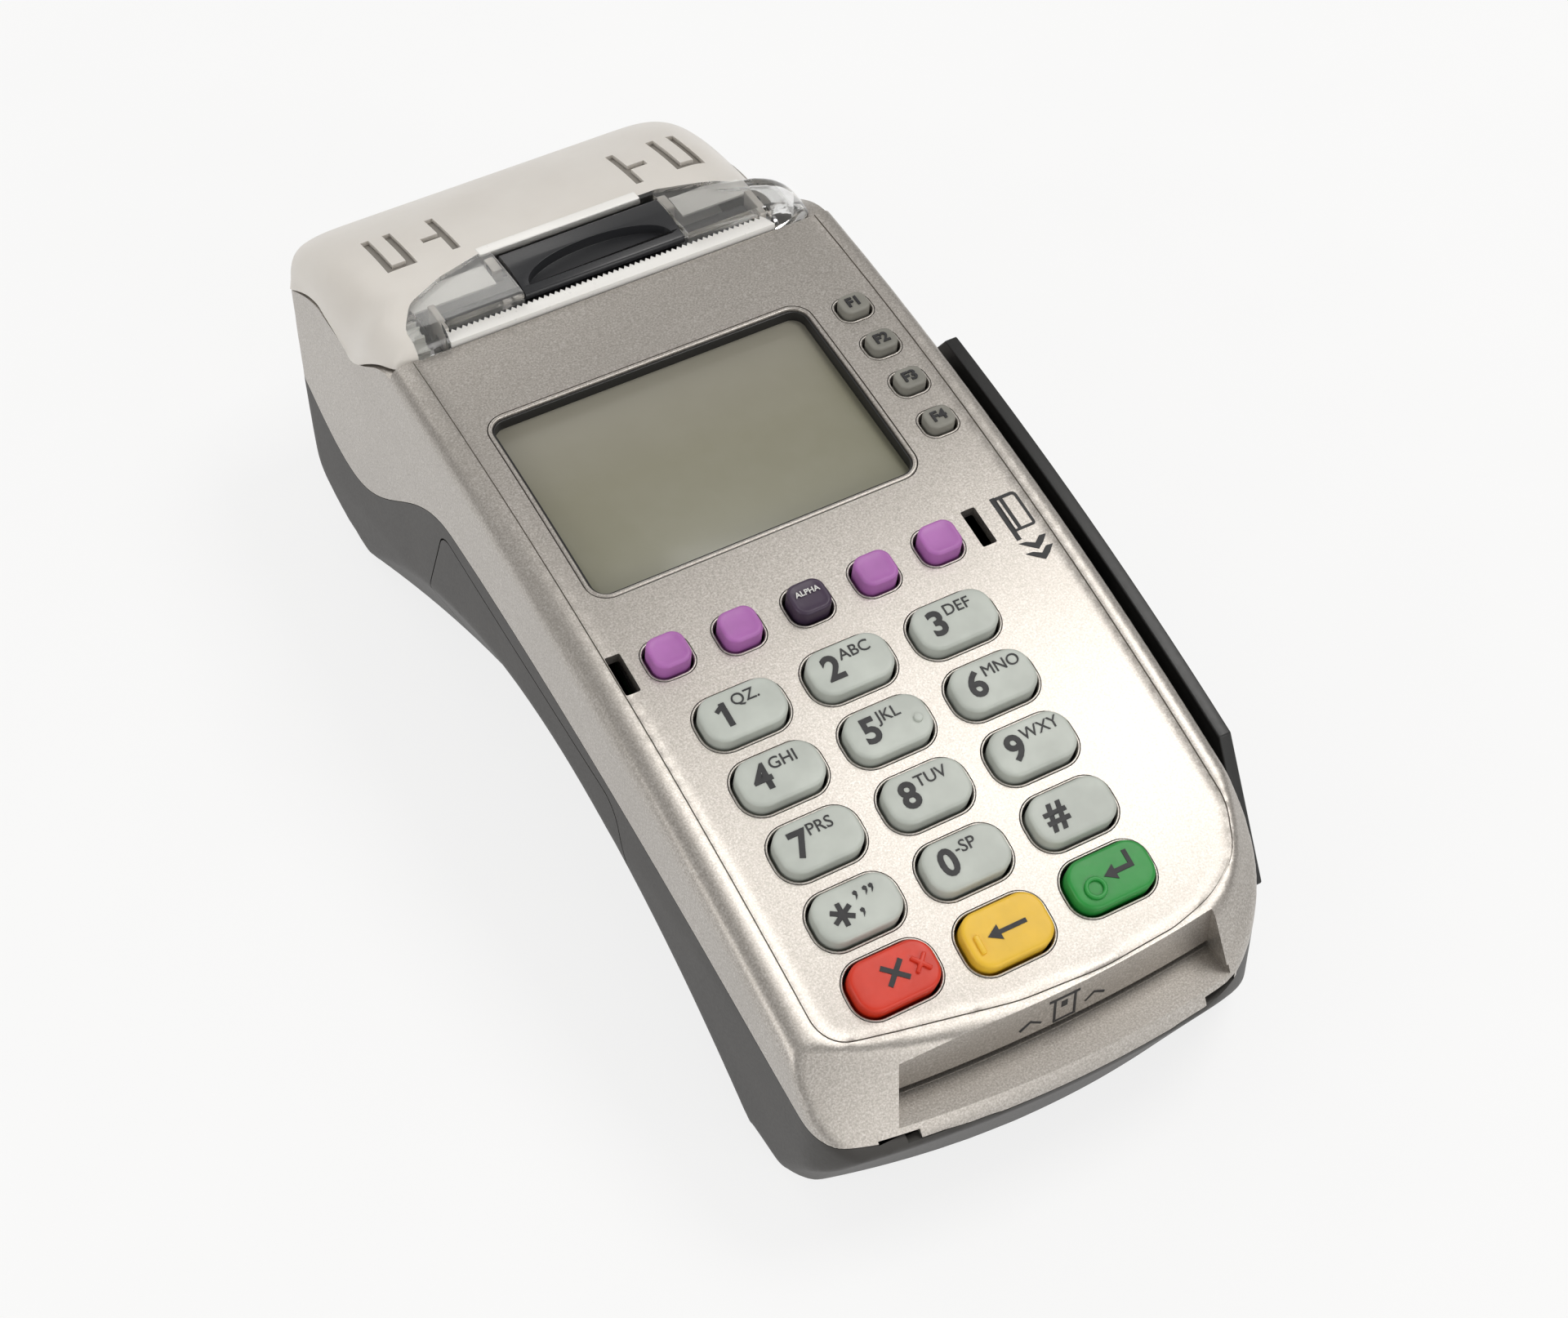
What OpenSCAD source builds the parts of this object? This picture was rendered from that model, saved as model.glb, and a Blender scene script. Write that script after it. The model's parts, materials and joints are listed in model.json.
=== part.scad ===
// Countertop payment terminal with a keypad, a display, a receipt printer and two card readers.
// X runs to the user's right, Y to the rear and Z up.
// The origin lies on the table, under the middle of the terminal.

/* [Housing] */
// Overall length from the nose to the rear wall
body_l = 204; // [200:1:208]
// Distance from the middle plane to the left flank, at the face
left_w = 42.1; // [41:0.1:44]
// Distance from the middle plane to the right flank
right_w = 41.2; // [41:0.1:43]
// Outward lean of the left flank for each mm below the face
flank_lean = 0.064; // [0:0.002:0.08]
// Wall of both housings
shell_t = 2.2; // [1.8:0.1:2.4]
// Radius of the curved face, seen from the side
face_r = 450; // [400:5:520]
// Place of the highest line of the face
face_peak_y = 65; // [62:1:68]
// Height of the highest line of the face
face_peak_z = 60.5; // [59:0.5:63]
// Rounding along the long edges of the face
edge_r = 3.5; // [3:0.5:6]
// Height of the foremost edge of the nose
nose_z = 19; // [17:0.5:21]
// Backward lean of the nose above that edge, in degrees
nose_lean = 26; // [20:1:30]
// Rounding from the face into the nose
brow_r = 4; // [3:0.5:8]
// How far the chin runs back below the nose
chin_run = 14; // [8:1:15]
// Radius of the nose, seen from above
nose_r = 200; // [160:5:300]
// Rounding of the left front corner, seen from above
front_corner_r = 9.5; // [8:0.5:14]
// Rounding of the right front corner, seen from above
right_corner_r = 18; // [12:0.5:18]
// Rounding of the rear corners, seen from above
rear_corner_r = 16; // [12:0.5:20]
// Rounding under the rear
belly_r = 30; // [26:0.5:31]
// Inward reach of the waist at the bottom
waist_depth = 11.2; // [6:0.2:13]
// Radius of the waist, seen from above
waist_r = 225; // [200:5:300]
// Height at which the waist runs out
waist_top = 30; // [26:0.5:32]
// Place of the middle of the waist
waist_y = -6; // [-10:1:0]

/* [Seam] */
// Gap along the seam between the housings
seam_gap = 0.2; // [0.1:0.05:0.4]
// Height of the seam at the nose
seam_nose_z = 20.2; // [18:0.2:21]
// Height of the seam where it leaves the front corner
seam_corner_z = 23.5; // [22.5:0.5:26]
// Height of the seam at its crest
seam_crest_z = 42.6; // [42:0.2:45]
// Height of the seam at its dip below the printer
seam_dip_z = 20.6; // [18:0.2:24]
// Rise of the seam from the dip to the rear wall
seam_rear_rise = 9.5; // [6:0.5:12]

/* [Keys] */
// Place of the key columns' middle
key_x = -4; // [-5:0.1:-3]
// Place of the middle number row
key_y = -48; // [-49:0.5:-46]
// Distance between key columns
key_pitch_x = 18.6; // [18:0.1:19.2]
// Distance between key rows
key_pitch_y = 11.9; // [11.4:0.1:12.2]
// Distance from the zero row to the colour row
colour_step = 11.5; // [11.4:0.1:12]
// Width of a number key
key_w = 13.8; // [13:0.1:15.2]
// Length of a number key
key_l = 8.3; // [8:0.1:9.2]
// Corner radius of a number key
key_r = 3.3; // [2.5:0.1:3.9]
// Height of a number key above the face
key_rise = 2.2; // [1.4:0.1:3]
// Distance between soft keys
soft_pitch = 12; // [11.5:0.1:12.2]
// Place of the soft keys along the face, from the middle number row
soft_s = -25; // [-26:0.1:-24.5]
// How far the outer soft keys sit behind the middle one
soft_sag = 0.8; // [0:0.1:1.2]
// Width of a soft key
soft_w = 6.4; // [6:0.1:7.4]
// Length of a soft key
soft_l = 6; // [5.5:0.1:7]
// Corner radius of a soft key
soft_r = 2; // [1.5:0.1:2.6]
// Height of a soft key above the face
soft_rise = 2.6; // [1.6:0.1:3.2]
// Distance of the function keys from the middle key column
fn_u = 36.4; // [35.8:0.1:36.8]
// Place of the rearmost function key along the face
fn_s = -75; // [-75:0.5:-73]
// Distance between function keys
fn_pitch = 9.3; // [9:0.1:9.6]
// Width of a function key
fn_w = 5; // [5:0.1:6.2]
// Length of a function key
fn_l = 4.3; // [4.2:0.1:5.2]
// Corner radius of a function key
fn_r = 1.5; // [1.2:0.1:2]
// Height of a function key above the face
fn_rise = 1.6; // [1:0.1:2.2]
// Gap between a key and its hole
key_gap = 0.5; // [0.3:0.05:0.6]
// Travel of every key
key_travel = 1.2; // [0.8:0.1:1.4]
// Width of the hidden collar round a key
collar_w = 0.8; // [0.6:0.05:0.9]
// Thickness of that collar
collar_t = 1; // [0.8:0.1:1.2]
// Radius of the crown on a key's top
crown_r = 30; // [20:1:60]

/* [Display] */
// Width of the display opening
display_w = 57.8; // [54:0.2:58.4]
// Length of the display opening
display_l = 39.8; // [36:0.2:40.4]
// Place of the display's middle along the face, from the middle number row
display_s = -60; // [-61:0.5:-59]
// Corner radius of the display opening
display_r = 3; // [2:0.5:4]
// Width of the bezel's rim
bezel_w = 2.4; // [1.8:0.1:3]
// Depth of the window below the face
window_depth = 3.9; // [3.4:0.1:4.6]
// Thickness of the window
window_t = 1.2; // [0.8:0.1:1.6]
// Thickness of the LCD module
lcd_t = 4; // [3:0.1:5]
// Thickness of both circuit boards
board_t = 1.6; // [1:0.1:2]

/* [Card readers] */
// Width of the swipe slot
slot_w = 2.2; // [1.6:0.1:2.6]
// Depth of the swipe slot
slot_depth = 17; // [15:0.5:19]
// Thickness of the swipe rail
rail_t = 2.3; // [1.8:0.1:2.8]
// How far the rail's top lies below the face
rail_drop = 2; // [1:0.1:3]
// Width of the chip card recess in the nose
recess_w = 55; // [54.6:0.2:58]
// Height of the recess ledge
ledge_z = 23.3; // [22.5:0.1:24]
// Depth of the recess, from the nose
recess_depth = 9.5; // [8:0.5:11]
// Height of the chip card slot
mouth_h = 1.4; // [1.2:0.1:1.8]
// Length of the chip card reader
reader_l = 44; // [40:1:46]

/* [Printer] */
// Rear edge of the face panel, where the cover begins
panel_rear_y = 48.8; // [48:0.1:49.4]
// Height of the top of the cover
cover_top_z = 63; // [62.5:0.5:65]
// Wall of the cover
cover_t = 2; // [1.6:0.1:2.4]
// Rounding along the cover's sides
cover_side_r = 9; // [6:0.5:11]
// Rounding of the dome's left side
dome_left_r = 12.6; // [9:0.2:13]
// Width of the dome's slope to the right flank
dome_right_w = 18.7; // [14:0.1:19]
// Height of the cover's edge on the left flank
rim_z = 50.2; // [49:0.2:52]
// Height of the cover's edge on the right flank
rim_right_z = 45.2; // [44.4:0.2:50]
// Gap round the cover
cover_gap = 0.4; // [0.3:0.05:0.6]
// Radius of the cover's hinge pin
hinge_pin_r = 0.8; // [0.7:0.05:0.9]
// Radius of the hinge knuckles
knuckle_r = 1.6; // [1.5:0.05:1.7]
// Width of the cover latch
latch_w = 30; // [26:0.5:32]
// Length of the cover latch
latch_l = 12; // [10:0.5:13]
// Radius of the pins on the latch
latch_pin_r = 1; // [0.8:0.1:1.1]
// Radius of the rubber on the platen
platen_r = 4; // [3.6:0.1:4.2]
// Length of the rubber on the platen
platen_l = 57; // [54:0.5:57.6]
// Radius of the platen shaft
shaft_r = 1.5; // [1.2:0.1:1.6]
// Clearance of turning pins and shafts in their bores
run_gap = 0.05; // [0.02:0.01:0.08]
// Size of a gear tooth, as pitch diameter for each tooth
gear_m = 0.5; // [0.48:0.01:0.52]
// Teeth of the platen gear
platen_teeth = 20; // [18:1:20]
// Teeth of the idler gear
idler_teeth = 32; // [30:1:34]
// Teeth of the motor pinion
pinion_teeth = 12; // [10:1:14]
// Width of the gears
gear_w = 3; // [2:0.1:3.2]
// Radius of the stepper motor
motor_r = 7; // [6:0.1:7]
// Length of the stepper motor
motor_l = 13; // [10:0.5:15]
// Radius of the paper roll
roll_r = 21; // [16:0.5:21]
// Width of the paper roll
roll_w = 57; // [54:0.5:57.6]
// Radius of the hole in the paper roll
core_r = 6; // [5:0.5:8]

/* [Base] */
// Height of the rubber feet
foot_h = 2; // [1.5:0.1:2.5]
// Radius of the rubber feet
foot_r = 5; // [4:0.5:6]
// Height of the cable bay's ceiling
bay_z = 24; // [22:0.5:25]
// Half width of the cable bay's ceiling
bay_half_w = 30; // [28:0.5:30.5]
// Gap round the base door
door_gap = 0.25; // [0.2:0.05:0.4]
// Radius of a housing screw's shank
screw_r = 1.4; // [1.2:0.1:1.5]
// Radius of a housing screw's head
screw_head_r = 2.6; // [2.2:0.1:2.8]

/* [Hidden] */
$fn = 48;
fine_fn = 360;
tiny = 0.1;
fit_gap = 0.3;
far = 150;
nose_y = -body_l / 2;
rear_y = body_l / 2;
face_axis_z = face_peak_z - face_r;

function face_z(y) = face_axis_z + sqrt(face_r * face_r - pow(y - face_peak_y, 2));
function ease(t) = (1 - cos(180 * min(max(t, 0), 1))) / 2;
function unit(v) = v / norm(v);

// Points of an arc round c
function arc_pts(c, r, a0, a1, n) = [for (k = [0:n]) let (a = a0 + (a1 - a0) * k / n)
    [c[0] + r * cos(a), c[1] + r * sin(a)]];

// Corner b of the outline a, b, c, rounded by r
function corner_pts(a, b, c, r, n) = let (
        u = unit(a - b),
        v = unit(c - b),
        half = acos(u * v) / 2,
        m = b + unit(u + v) * r / sin(half),
        p = b + u * r / tan(half) - m,
        q = b + v * r / tan(half) - m,
        a0 = atan2(p[1], p[0]),
        turn = ((atan2(q[1], q[0]) - a0 + 900) % 360) - 180
    ) arc_pts(m, r, a0, a0 + turn, n);

// Points of a curve from a to d, drawn towards b and c
function bezier_pts(a, b, c, d, n) = [for (k = [0:n]) let (t = k / n, u = 1 - t)
    u * u * u * a + 3 * u * u * t * b + 3 * u * t * t * c + t * t * t * d];

// Outline p with each corner rounded by its radius in r
function round_pts(p, r, n = 6) = let (k = len(p)) [for (i = [0:k - 1])
    each r[i] > 0 ? corner_pts(p[(i + k - 1) % k], p[i], p[(i + 1) % k], r[i], n) : [p[i]]];

// Outline p, drawn anticlockwise, with each edge moved in by d
function inset_pts(p, d) = let (k = len(p)) [for (i = [0:k - 1]) let (
        e = unit(p[i] - p[(i + k - 1) % k]),
        f = unit(p[(i + 1) % k] - p[i]),
        m = [-e[1], e[0]],
        q = [-f[1], f[0]]
    ) p[i] + (m + q) * d / (1 + m * q)];

// Angle on the face at arc length s ahead of the middle number row
face_turn = 180 / (PI * face_r);
key_angle = asin((key_y - face_peak_y) / face_r);
function face_angle(s) = key_angle - s * face_turn;

// Puts children on the face, x from the middle plane and s along the face, with Z along the normal
module on_face(x, s) {
    translate([0, face_peak_y, face_axis_z])
        rotate([-face_angle(s), 0, 0])
            translate([x, 0, face_r])
                children();
}

// Draws children as a side view, Y across and Z up, from x0 to x1
module side_slab(x0, x1) {
    translate([x0, 0, 0])
        rotate([90, 0, 90])
            linear_extrude(x1 - x0)
                children();
}

module rounded_rect(w, l, r) {
    square([w - 2 * r, l], center = true);
    square([w, l - 2 * r], center = true);
    for (sx = [-1, 1], sy = [-1, 1])
        translate([sx * (w / 2 - r), sy * (l / 2 - r)])
            circle(r);
}

module rounded_slab(w, l, r, z0, z1) {
    translate([0, 0, z0])
        linear_extrude(z1 - z0)
            rounded_rect(w, l, r);
}

module block(x, y, z) {
    translate([x[0], y[0], z[0]])
        cube([x[1] - x[0], y[1] - y[0], z[1] - z[0]]);
}

// A rod along X round the point p of the side view
module x_rod(x, p, r) {
    translate([x[0], p[0], p[1]])
        rotate([0, 90, 0])
            cylinder(r = r, h = x[1] - x[0]);
}

// Outer form of both housings

// The long sweep of the face, with its rounded edges and its flanks, moved in by i
sweep_depth = 75;
sweep_from = 8;
sweep_to = -28;
module sweep(i) {
    translate([0, face_peak_y, face_axis_z])
        rotate([0, 90, 0])
            rotate([0, 0, 180 - sweep_from])
                rotate_extrude(angle = sweep_from - sweep_to, $fn = fine_fn)
                    sweep_profile(i);
}

module sweep_profile(i) {
    edge_x = face_r - edge_r;
    left_c = -(left_w + flank_lean * edge_r) + edge_r;
    difference() {
        polygon([
            [face_r - i, -left_w + i],
            [face_r - i, right_w - i],
            [face_r - sweep_depth, right_w - i],
            [face_r - sweep_depth, -left_w - flank_lean * sweep_depth + i]
        ]);
        translate([edge_x, left_c])
            mirror([0, 1])
                edge_cut(edge_r - i);
        translate([edge_x, right_w - edge_r])
            edge_cut(edge_r - i);
    }
}

module edge_cut(r) {
    difference() {
        square(edge_r + 1);
        circle(r, $fn = 96);
    }
}

// Where the nose line meets the face
function brow_z(z, n) = n == 0 ? z : brow_z(face_z(nose_y + (z - nose_z) * tan(nose_lean)), n - 1);
brow = let (z = brow_z(30, 12)) [nose_y + (z - nose_z) * tan(nose_lean), z];
brow_angle = asin((face_peak_y - brow[0]) / face_r);
brow_run = 60;
nose_edge_r = 3;
sky_z = 100;
side_outline = round_pts([
    [nose_y + chin_run, foot_h],
    [rear_y, foot_h],
    [rear_y, sky_z],
    brow + brow_run * [cos(brow_angle), sin(brow_angle)],
    brow,
    [nose_y, nose_z]
], [6, belly_r, 0, 0, brow_r, nose_edge_r]);

// Outline seen from above
nose_half = 24;
rear_flare = 3.8;
nose_side = [nose_half, nose_y + nose_r - sqrt(nose_r * nose_r - nose_half * nose_half)];
nose_slope = nose_half / sqrt(nose_r * nose_r - nose_half * nose_half);
left_front = [-left_w - fit_gap, nose_side[1] + (left_w + fit_gap - nose_half) * nose_slope];
right_front = [right_w, nose_side[1] + (right_w - nose_half) * nose_slope];
nose_turn = asin(nose_half / nose_r);
plan_outline = round_pts(concat(
    [left_front],
    arc_pts([0, nose_y + nose_r], nose_r, 270 - nose_turn, 270 + nose_turn, 8),
    [right_front, [right_w, rear_y], [-left_w - rear_flare, rear_y]]
), concat([front_corner_r], [for (k = [0:8]) 0], [right_corner_r, rear_corner_r, rear_corner_r]));

// Cones that draw the flanks in at the waist
waist_slope = waist_depth / (waist_top - foot_h);
module waist(i) {
    low = foot_h - 1;
    grown = 1.09 * i;
    left_x = -left_w - flank_lean * (face_z(waist_y) - waist_top);
    for (side = [[-1, left_x], [1, right_w]])
        translate([side[1] + side[0] * (waist_r - waist_depth), waist_y, low])
            cylinder(
                r1 = waist_r - waist_depth + waist_slope * (waist_top - low) + grown,
                r2 = waist_r - waist_depth + grown,
                h = waist_top - low,
                $fn = fine_fn
            );
}

module envelope(i) {
    difference() {
        intersection() {
            sweep(i);
            side_slab(-far, far)
                polygon(inset_pts(side_outline, i));
            linear_extrude(sky_z)
                polygon(inset_pts(plan_outline, i));
        }
        waist(i);
    }
}

module shell() {
    difference() {
        envelope(0);
        envelope(shell_t);
    }
}

// Seam between the housings, seen from the side
seam_corner_run = 8;
seam_crest_y = 26;
seam_dip_y = 71;
seam_tail = 6;
seam_power = 1.7;
function seam_rise(y) = let (t = (y - nose_y - seam_corner_run) / (seam_crest_y - nose_y - seam_corner_run))
    seam_corner_z + (seam_crest_z - seam_corner_z) * (1 - pow(1 - t, seam_power));
function seam_drop(y) = seam_crest_z
    - (seam_crest_z - seam_dip_z) * ease((y - seam_crest_y) / (seam_dip_y - seam_crest_y));
function seam_tail_z(y) = seam_dip_z
    + seam_rear_rise * ease((y - seam_dip_y) / (rear_y + seam_tail - seam_dip_y));
seam = concat(
    [[-far, seam_nose_z - 6], [nose_y, seam_nose_z]],
    [for (k = [0:6]) let (y = nose_y + seam_corner_run + (seam_crest_y - nose_y - seam_corner_run) * k / 6)
        [y, seam_rise(y)]],
    [for (k = [1:8]) let (y = seam_crest_y + (seam_dip_y - seam_crest_y) * k / 8) [y, seam_drop(y)]],
    [for (k = [1:4]) let (y = seam_dip_y + (rear_y + seam_tail - seam_dip_y) * k / 4) [y, seam_tail_z(y)]],
    [[far, seam_dip_z + seam_rear_rise]]
);

module above_seam(gap) {
    side_slab(-far, far)
        translate([0, gap])
            polygon(concat(seam, [[far, sky_z], [-far, sky_z]]));
}

module below_seam(gap) {
    side_slab(-far, far)
        translate([0, -gap])
            polygon(concat(seam, [[far, -far], [-far, -far]]));
}

// Printer places, as points of the side view
hinge_in = knuckle_r + 0.1;
hinge = [rear_y - hinge_in, 40];
rim_rear_z = hinge[1] - 0.6;
swing_r = norm([hinge_in, hinge[1] - rim_rear_z]) + 0.35;
platen = [panel_rear_y + 6.7, 55.6];
opening_way = unit([platen[1] - hinge[1], hinge[0] - platen[0]]);
platen_gear_r = gear_m * platen_teeth / 2;
idler_r = gear_m * idler_teeth / 2;
pinion_r = gear_m * pinion_teeth / 2;
idler = platen - opening_way * (platen_gear_r + idler_r);
motor_way = unit([-0.95, -0.31]);
motor_at = idler + motor_way * (idler_r + pinion_r);
roll_gap = 0.4;
bucket_t = 1.4;
bucket_r = roll_r + roll_gap + bucket_t;
roll_at = [rear_y - belly_r, foot_h + belly_r];
cheek_x = 31;
cheek_t = 2;
lug_x = platen_l / 2 + 0.7;
lug_t = 1.4;
gear_x = cheek_x + cheek_t + 0.5;

// Edge between the cover and the flanks, seen from the side
rim_front_z = 58.6;
rim_y0 = 67;
rim_y1 = 80;
function rim_fall(y, low, y0) = low + (rim_front_z - low) * (1 - ease((y - panel_rear_y) / (y0 - panel_rear_y)));
function rim_tail(y, low) = low - (low - rim_rear_z) * pow((y - rim_y1) / (rear_y - 1 - rim_y1), 1.5);
function rim(low, y0) = concat(
    [for (k = [0:5]) let (y = panel_rear_y + (y0 - panel_rear_y) * k / 5) [y, rim_fall(y, low, y0)]],
    [for (k = [0:4]) let (y = rim_y1 + (rear_y - 1 - rim_y1) * k / 4) [y, rim_tail(y, low)]],
    [[rear_y + 5, rim_rear_z]]
);

module cover_zone(gap) {
    for (side = [[-far, 0, rim_z, rim_y0], [0, far, rim_right_z, rim_y1 - 1]])
        side_slab(side[0], side[1])
            translate([gap, gap])
                polygon(concat(rim(side[2], side[3]), [[rear_y + 5, sky_z], [panel_rear_y, sky_z]]));
}

// Keys: name, place across and along the face, width, length, corner radius, rise, colour
number_rows = [["key_1", "key_2", "key_3"], ["key_4", "key_5", "key_6"], ["key_7", "key_8", "key_9"],
    ["key_star", "key_0", "key_hash"]];
colour_s = 2 * key_pitch_y + colour_step;
clear_shift = 0.9;
clear_extra = 0.8;
key_grey = [0.72, 0.75, 0.72];
soft_purple = [0.62, 0.42, 0.7];
number_keys = [for (r = [0:3], c = [0:2])
    [number_rows[r][c], key_x + (c - 1) * key_pitch_x, (r - 1) * key_pitch_y, key_w, key_l, key_r, key_rise, key_grey]];
colour_keys = [
    ["key_cancel", key_x - key_pitch_x, colour_s, key_w, key_l, key_r, key_rise, [0.85, 0.2, 0.13]],
    ["key_clear", key_x, colour_s + clear_shift, key_w, key_l + clear_extra, key_r, key_rise, [0.97, 0.78, 0.2]],
    ["key_enter", key_x + key_pitch_x, colour_s, key_w, key_l, key_r, key_rise, [0.2, 0.6, 0.3]]
];
soft_keys = [for (k = [0:4])
    [str("soft_key_", k + 1), key_x + (k - 2) * soft_pitch, soft_s - soft_sag * pow((k - 2) / 2, 2),
        soft_w, soft_l, soft_r, soft_rise, k == 2 ? [0.3, 0.24, 0.32] : soft_purple]];
fn_keys = [for (k = [0:3])
    [str("function_key_", k + 1), key_x + fn_u, fn_s + k * fn_pitch, fn_w, fn_l, fn_r, fn_rise, [0.42, 0.43, 0.4]]];
pad_keys = concat(number_keys, colour_keys, soft_keys);
keys = concat(pad_keys, fn_keys);

// Depths below the face, where the key parts and the mats lie
collar_top = shell_t + fit_gap;
collar_low = collar_top + collar_t;
stem_low = collar_low + key_travel - 0.1;
mat_top = collar_low + key_travel + fit_gap;

module key_solid(k) {
    intersection() {
        rounded_slab(k[3], k[4], k[5], -collar_low, k[6]);
        translate([0, 0, k[6] - crown_r])
            rotate([0, 90, 0])
                cylinder(r = crown_r, h = k[3] + 2, center = true, $fn = 180);
    }
    rounded_slab(k[3] + 2 * collar_w, k[4] + 2 * collar_w, k[5] + collar_w, -collar_low, -collar_top);
    translate([0, 0, -stem_low])
        cylinder(r = stem_r(k), h = stem_low - collar_low + tiny);
}

function stem_r(k) = min(k[3], k[4]) / 2 - 0.6;

module key(k) {
    color(k[7])
        on_face(k[1], k[2])
            key_solid(k);
}

module key_holes() {
    for (k = keys)
        on_face(k[1], k[2])
            rounded_slab(k[3] + 2 * key_gap, k[4] + 2 * key_gap, k[5] + key_gap, -collar_top, 2);
}

// Mats and boards
mat_half_w = 2 * soft_pitch + soft_w / 2 + collar_w + 1.8;
mat_front_s = colour_s + key_l / 2 + 1.5;
mat_rear_s = soft_s - soft_l / 2 - soft_sag - 2.5;
pad_mid_s = (mat_front_s + mat_rear_s) / 2;
pad_l = mat_front_s - mat_rear_s;
pad_sag = pad_l * pad_l / (8 * face_r);
pad_board_depth = mat_top + 1.2 + pad_sag;
rim_rail_w = 1.3;
stem_clear = 0.5;
lcd_low = window_depth + window_t + lcd_t;
fn_mat_x = [key_x + fn_u - fn_w / 2 - 1.6, key_x + fn_u + fn_w / 2 + 1.2];
fn_mat_s = [fn_s - fn_l / 2 - 2, fn_s + 3 * fn_pitch + fn_l / 2 + 2];
display_board_l = display_l + 5;

module under_face(depth) {
    translate([-far, face_peak_y, face_axis_z])
        rotate([0, 90, 0])
            cylinder(r = face_r - depth, h = 2 * far, $fn = fine_fn);
}

module mat_holes(list) {
    for (k = list)
        on_face(k[1], k[2])
            translate([0, 0, -20])
                cylinder(r = stem_r(k) + stem_clear, h = 20);
}

module keypad_mat() {
    color([0.55, 0.57, 0.55])
        difference() {
            intersection() {
                on_face(key_x, pad_mid_s)
                    block([-mat_half_w, mat_half_w], [-pad_l / 2, pad_l / 2], [-pad_board_depth, 0]);
                under_face(mat_top);
            }
            mat_holes(pad_keys);
        }
}

module main_board() {
    color([0.1, 0.35, 0.2])
        on_face(key_x, pad_mid_s)
            block([-mat_half_w, mat_half_w], [-pad_l / 2, pad_l / 2],
                [-pad_board_depth - board_t, -pad_board_depth]);
}

// Rails under the face that the mat lies against
module mat_rails() {
    for (side = [-1, 1])
        intersection() {
            on_face(key_x + side * (mat_half_w - rim_rail_w / 2), pad_mid_s)
                block([-rim_rail_w / 2, rim_rail_w / 2], [-pad_l / 2, pad_l / 2], [-mat_top - 3, 0]);
            difference() {
                under_face(shell_t - tiny);
                under_face(mat_top - tiny);
            }
        }
}

module function_mat() {
    color([0.3, 0.31, 0.3])
        difference() {
            intersection() {
                on_face(0, display_s)
                    block(fn_mat_x, [display_s - fn_mat_s[1], display_s - fn_mat_s[0]], [-lcd_low, 0]);
                under_face(mat_top);
            }
            mat_holes(fn_keys);
        }
}

module display_board() {
    color([0.1, 0.35, 0.2])
        on_face(0, display_s)
            block([key_x - display_w / 2 - 1, fn_mat_x[1]], [-display_board_l / 2, display_board_l / 2],
                [-lcd_low - board_t, -lcd_low]);
}

module lcd_module() {
    color([0.5, 0.52, 0.42])
        on_face(key_x, display_s)
            block([-display_w / 2 + 1, display_w / 2 - 1], [-display_l / 2 + 1, display_l / 2 - 1],
                [-lcd_low, -window_depth - window_t]);
}

module display_window() {
    color([0.6, 0.62, 0.52, 0.6])
        on_face(key_x, display_s)
            rounded_slab(display_w - 2, display_l - 2, 1.5, -window_depth - window_t, -window_depth);
}

bezel_gap = 0.2;
bezel_flange = 2;
display_sag = display_l * display_l / (8 * face_r);
module display_bezel() {
    color([0.16, 0.16, 0.16])
        on_face(key_x, display_s)
            difference() {
                union() {
                    rounded_slab(display_w - 2 * bezel_gap, display_l - 2 * bezel_gap, display_r - bezel_gap,
                        -window_depth, -display_sag);
                    rounded_slab(display_w + 2 * bezel_flange, display_l + 2 * bezel_flange, display_r,
                        -window_depth, -shell_t - display_sag - 2 * tiny);
                }
                rounded_slab(display_w - 2 * bezel_w, display_l - 2 * bezel_w, 1.2, -far, far);
            }
}

// Card recess and card mouth in the nose
recess_x = -0.5;
recess_y = nose_y + recess_depth;
recess_wall = 2;
reader_low = 3.8;
reader_top = 1.4;
module recess_block(g) {
    half = recess_w / 2 + recess_wall + g;
    block([recess_x - half, recess_x + half], [nose_y - 1, recess_y + recess_wall + g],
        [ledge_z - recess_wall - g, sky_z]);
}

module recess_cut() {
    block([recess_x - recess_w / 2, recess_x + recess_w / 2], [nose_y - 5, recess_y], [ledge_z, sky_z]);
    block([recess_x - recess_w / 2 + tiny, recess_x + recess_w / 2 - tiny],
        [recess_y - 1, recess_y + recess_wall + 1], [ledge_z, ledge_z + mouth_h]);
}

// Slots beside the soft keys that hold a privacy shield
shield_u = 31.6;
shield_slot_w = 2.6;
shield_slot_l = 7.4;
shield_s = -26.1;
module shield_slots() {
    for (side = [-1, 1])
        on_face(key_x + side * shield_u, shield_s)
            block([-shield_slot_w / 2, shield_slot_w / 2], [-shield_slot_l / 2, shield_slot_l / 2], [-shell_t - 1, 2]);
}

// Swipe head and its window in the right flank
head_s = -16;
head_l = 10;
head_depth = [4, 14];
head_back = 4.7;
head_proud = 0.5;
module head_window() {
    on_face(right_w, head_s)
        block([-shell_t - 1, 1], [-head_l / 2 - fit_gap, head_l / 2 + fit_gap],
            [-head_depth[1] - fit_gap, -head_depth[0] + fit_gap]);
}

module swipe_head() {
    color([0.7, 0.7, 0.72])
        on_face(right_w, head_s)
            intersection() {
                block([-head_back, head_proud], [-head_l / 2, head_l / 2], [-head_depth[1], -head_depth[0]]);
                translate([head_proud - head_l, 0, -head_depth[1]])
                    cylinder(r = head_l, h = head_depth[1] - head_depth[0]);
            }
}

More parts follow.
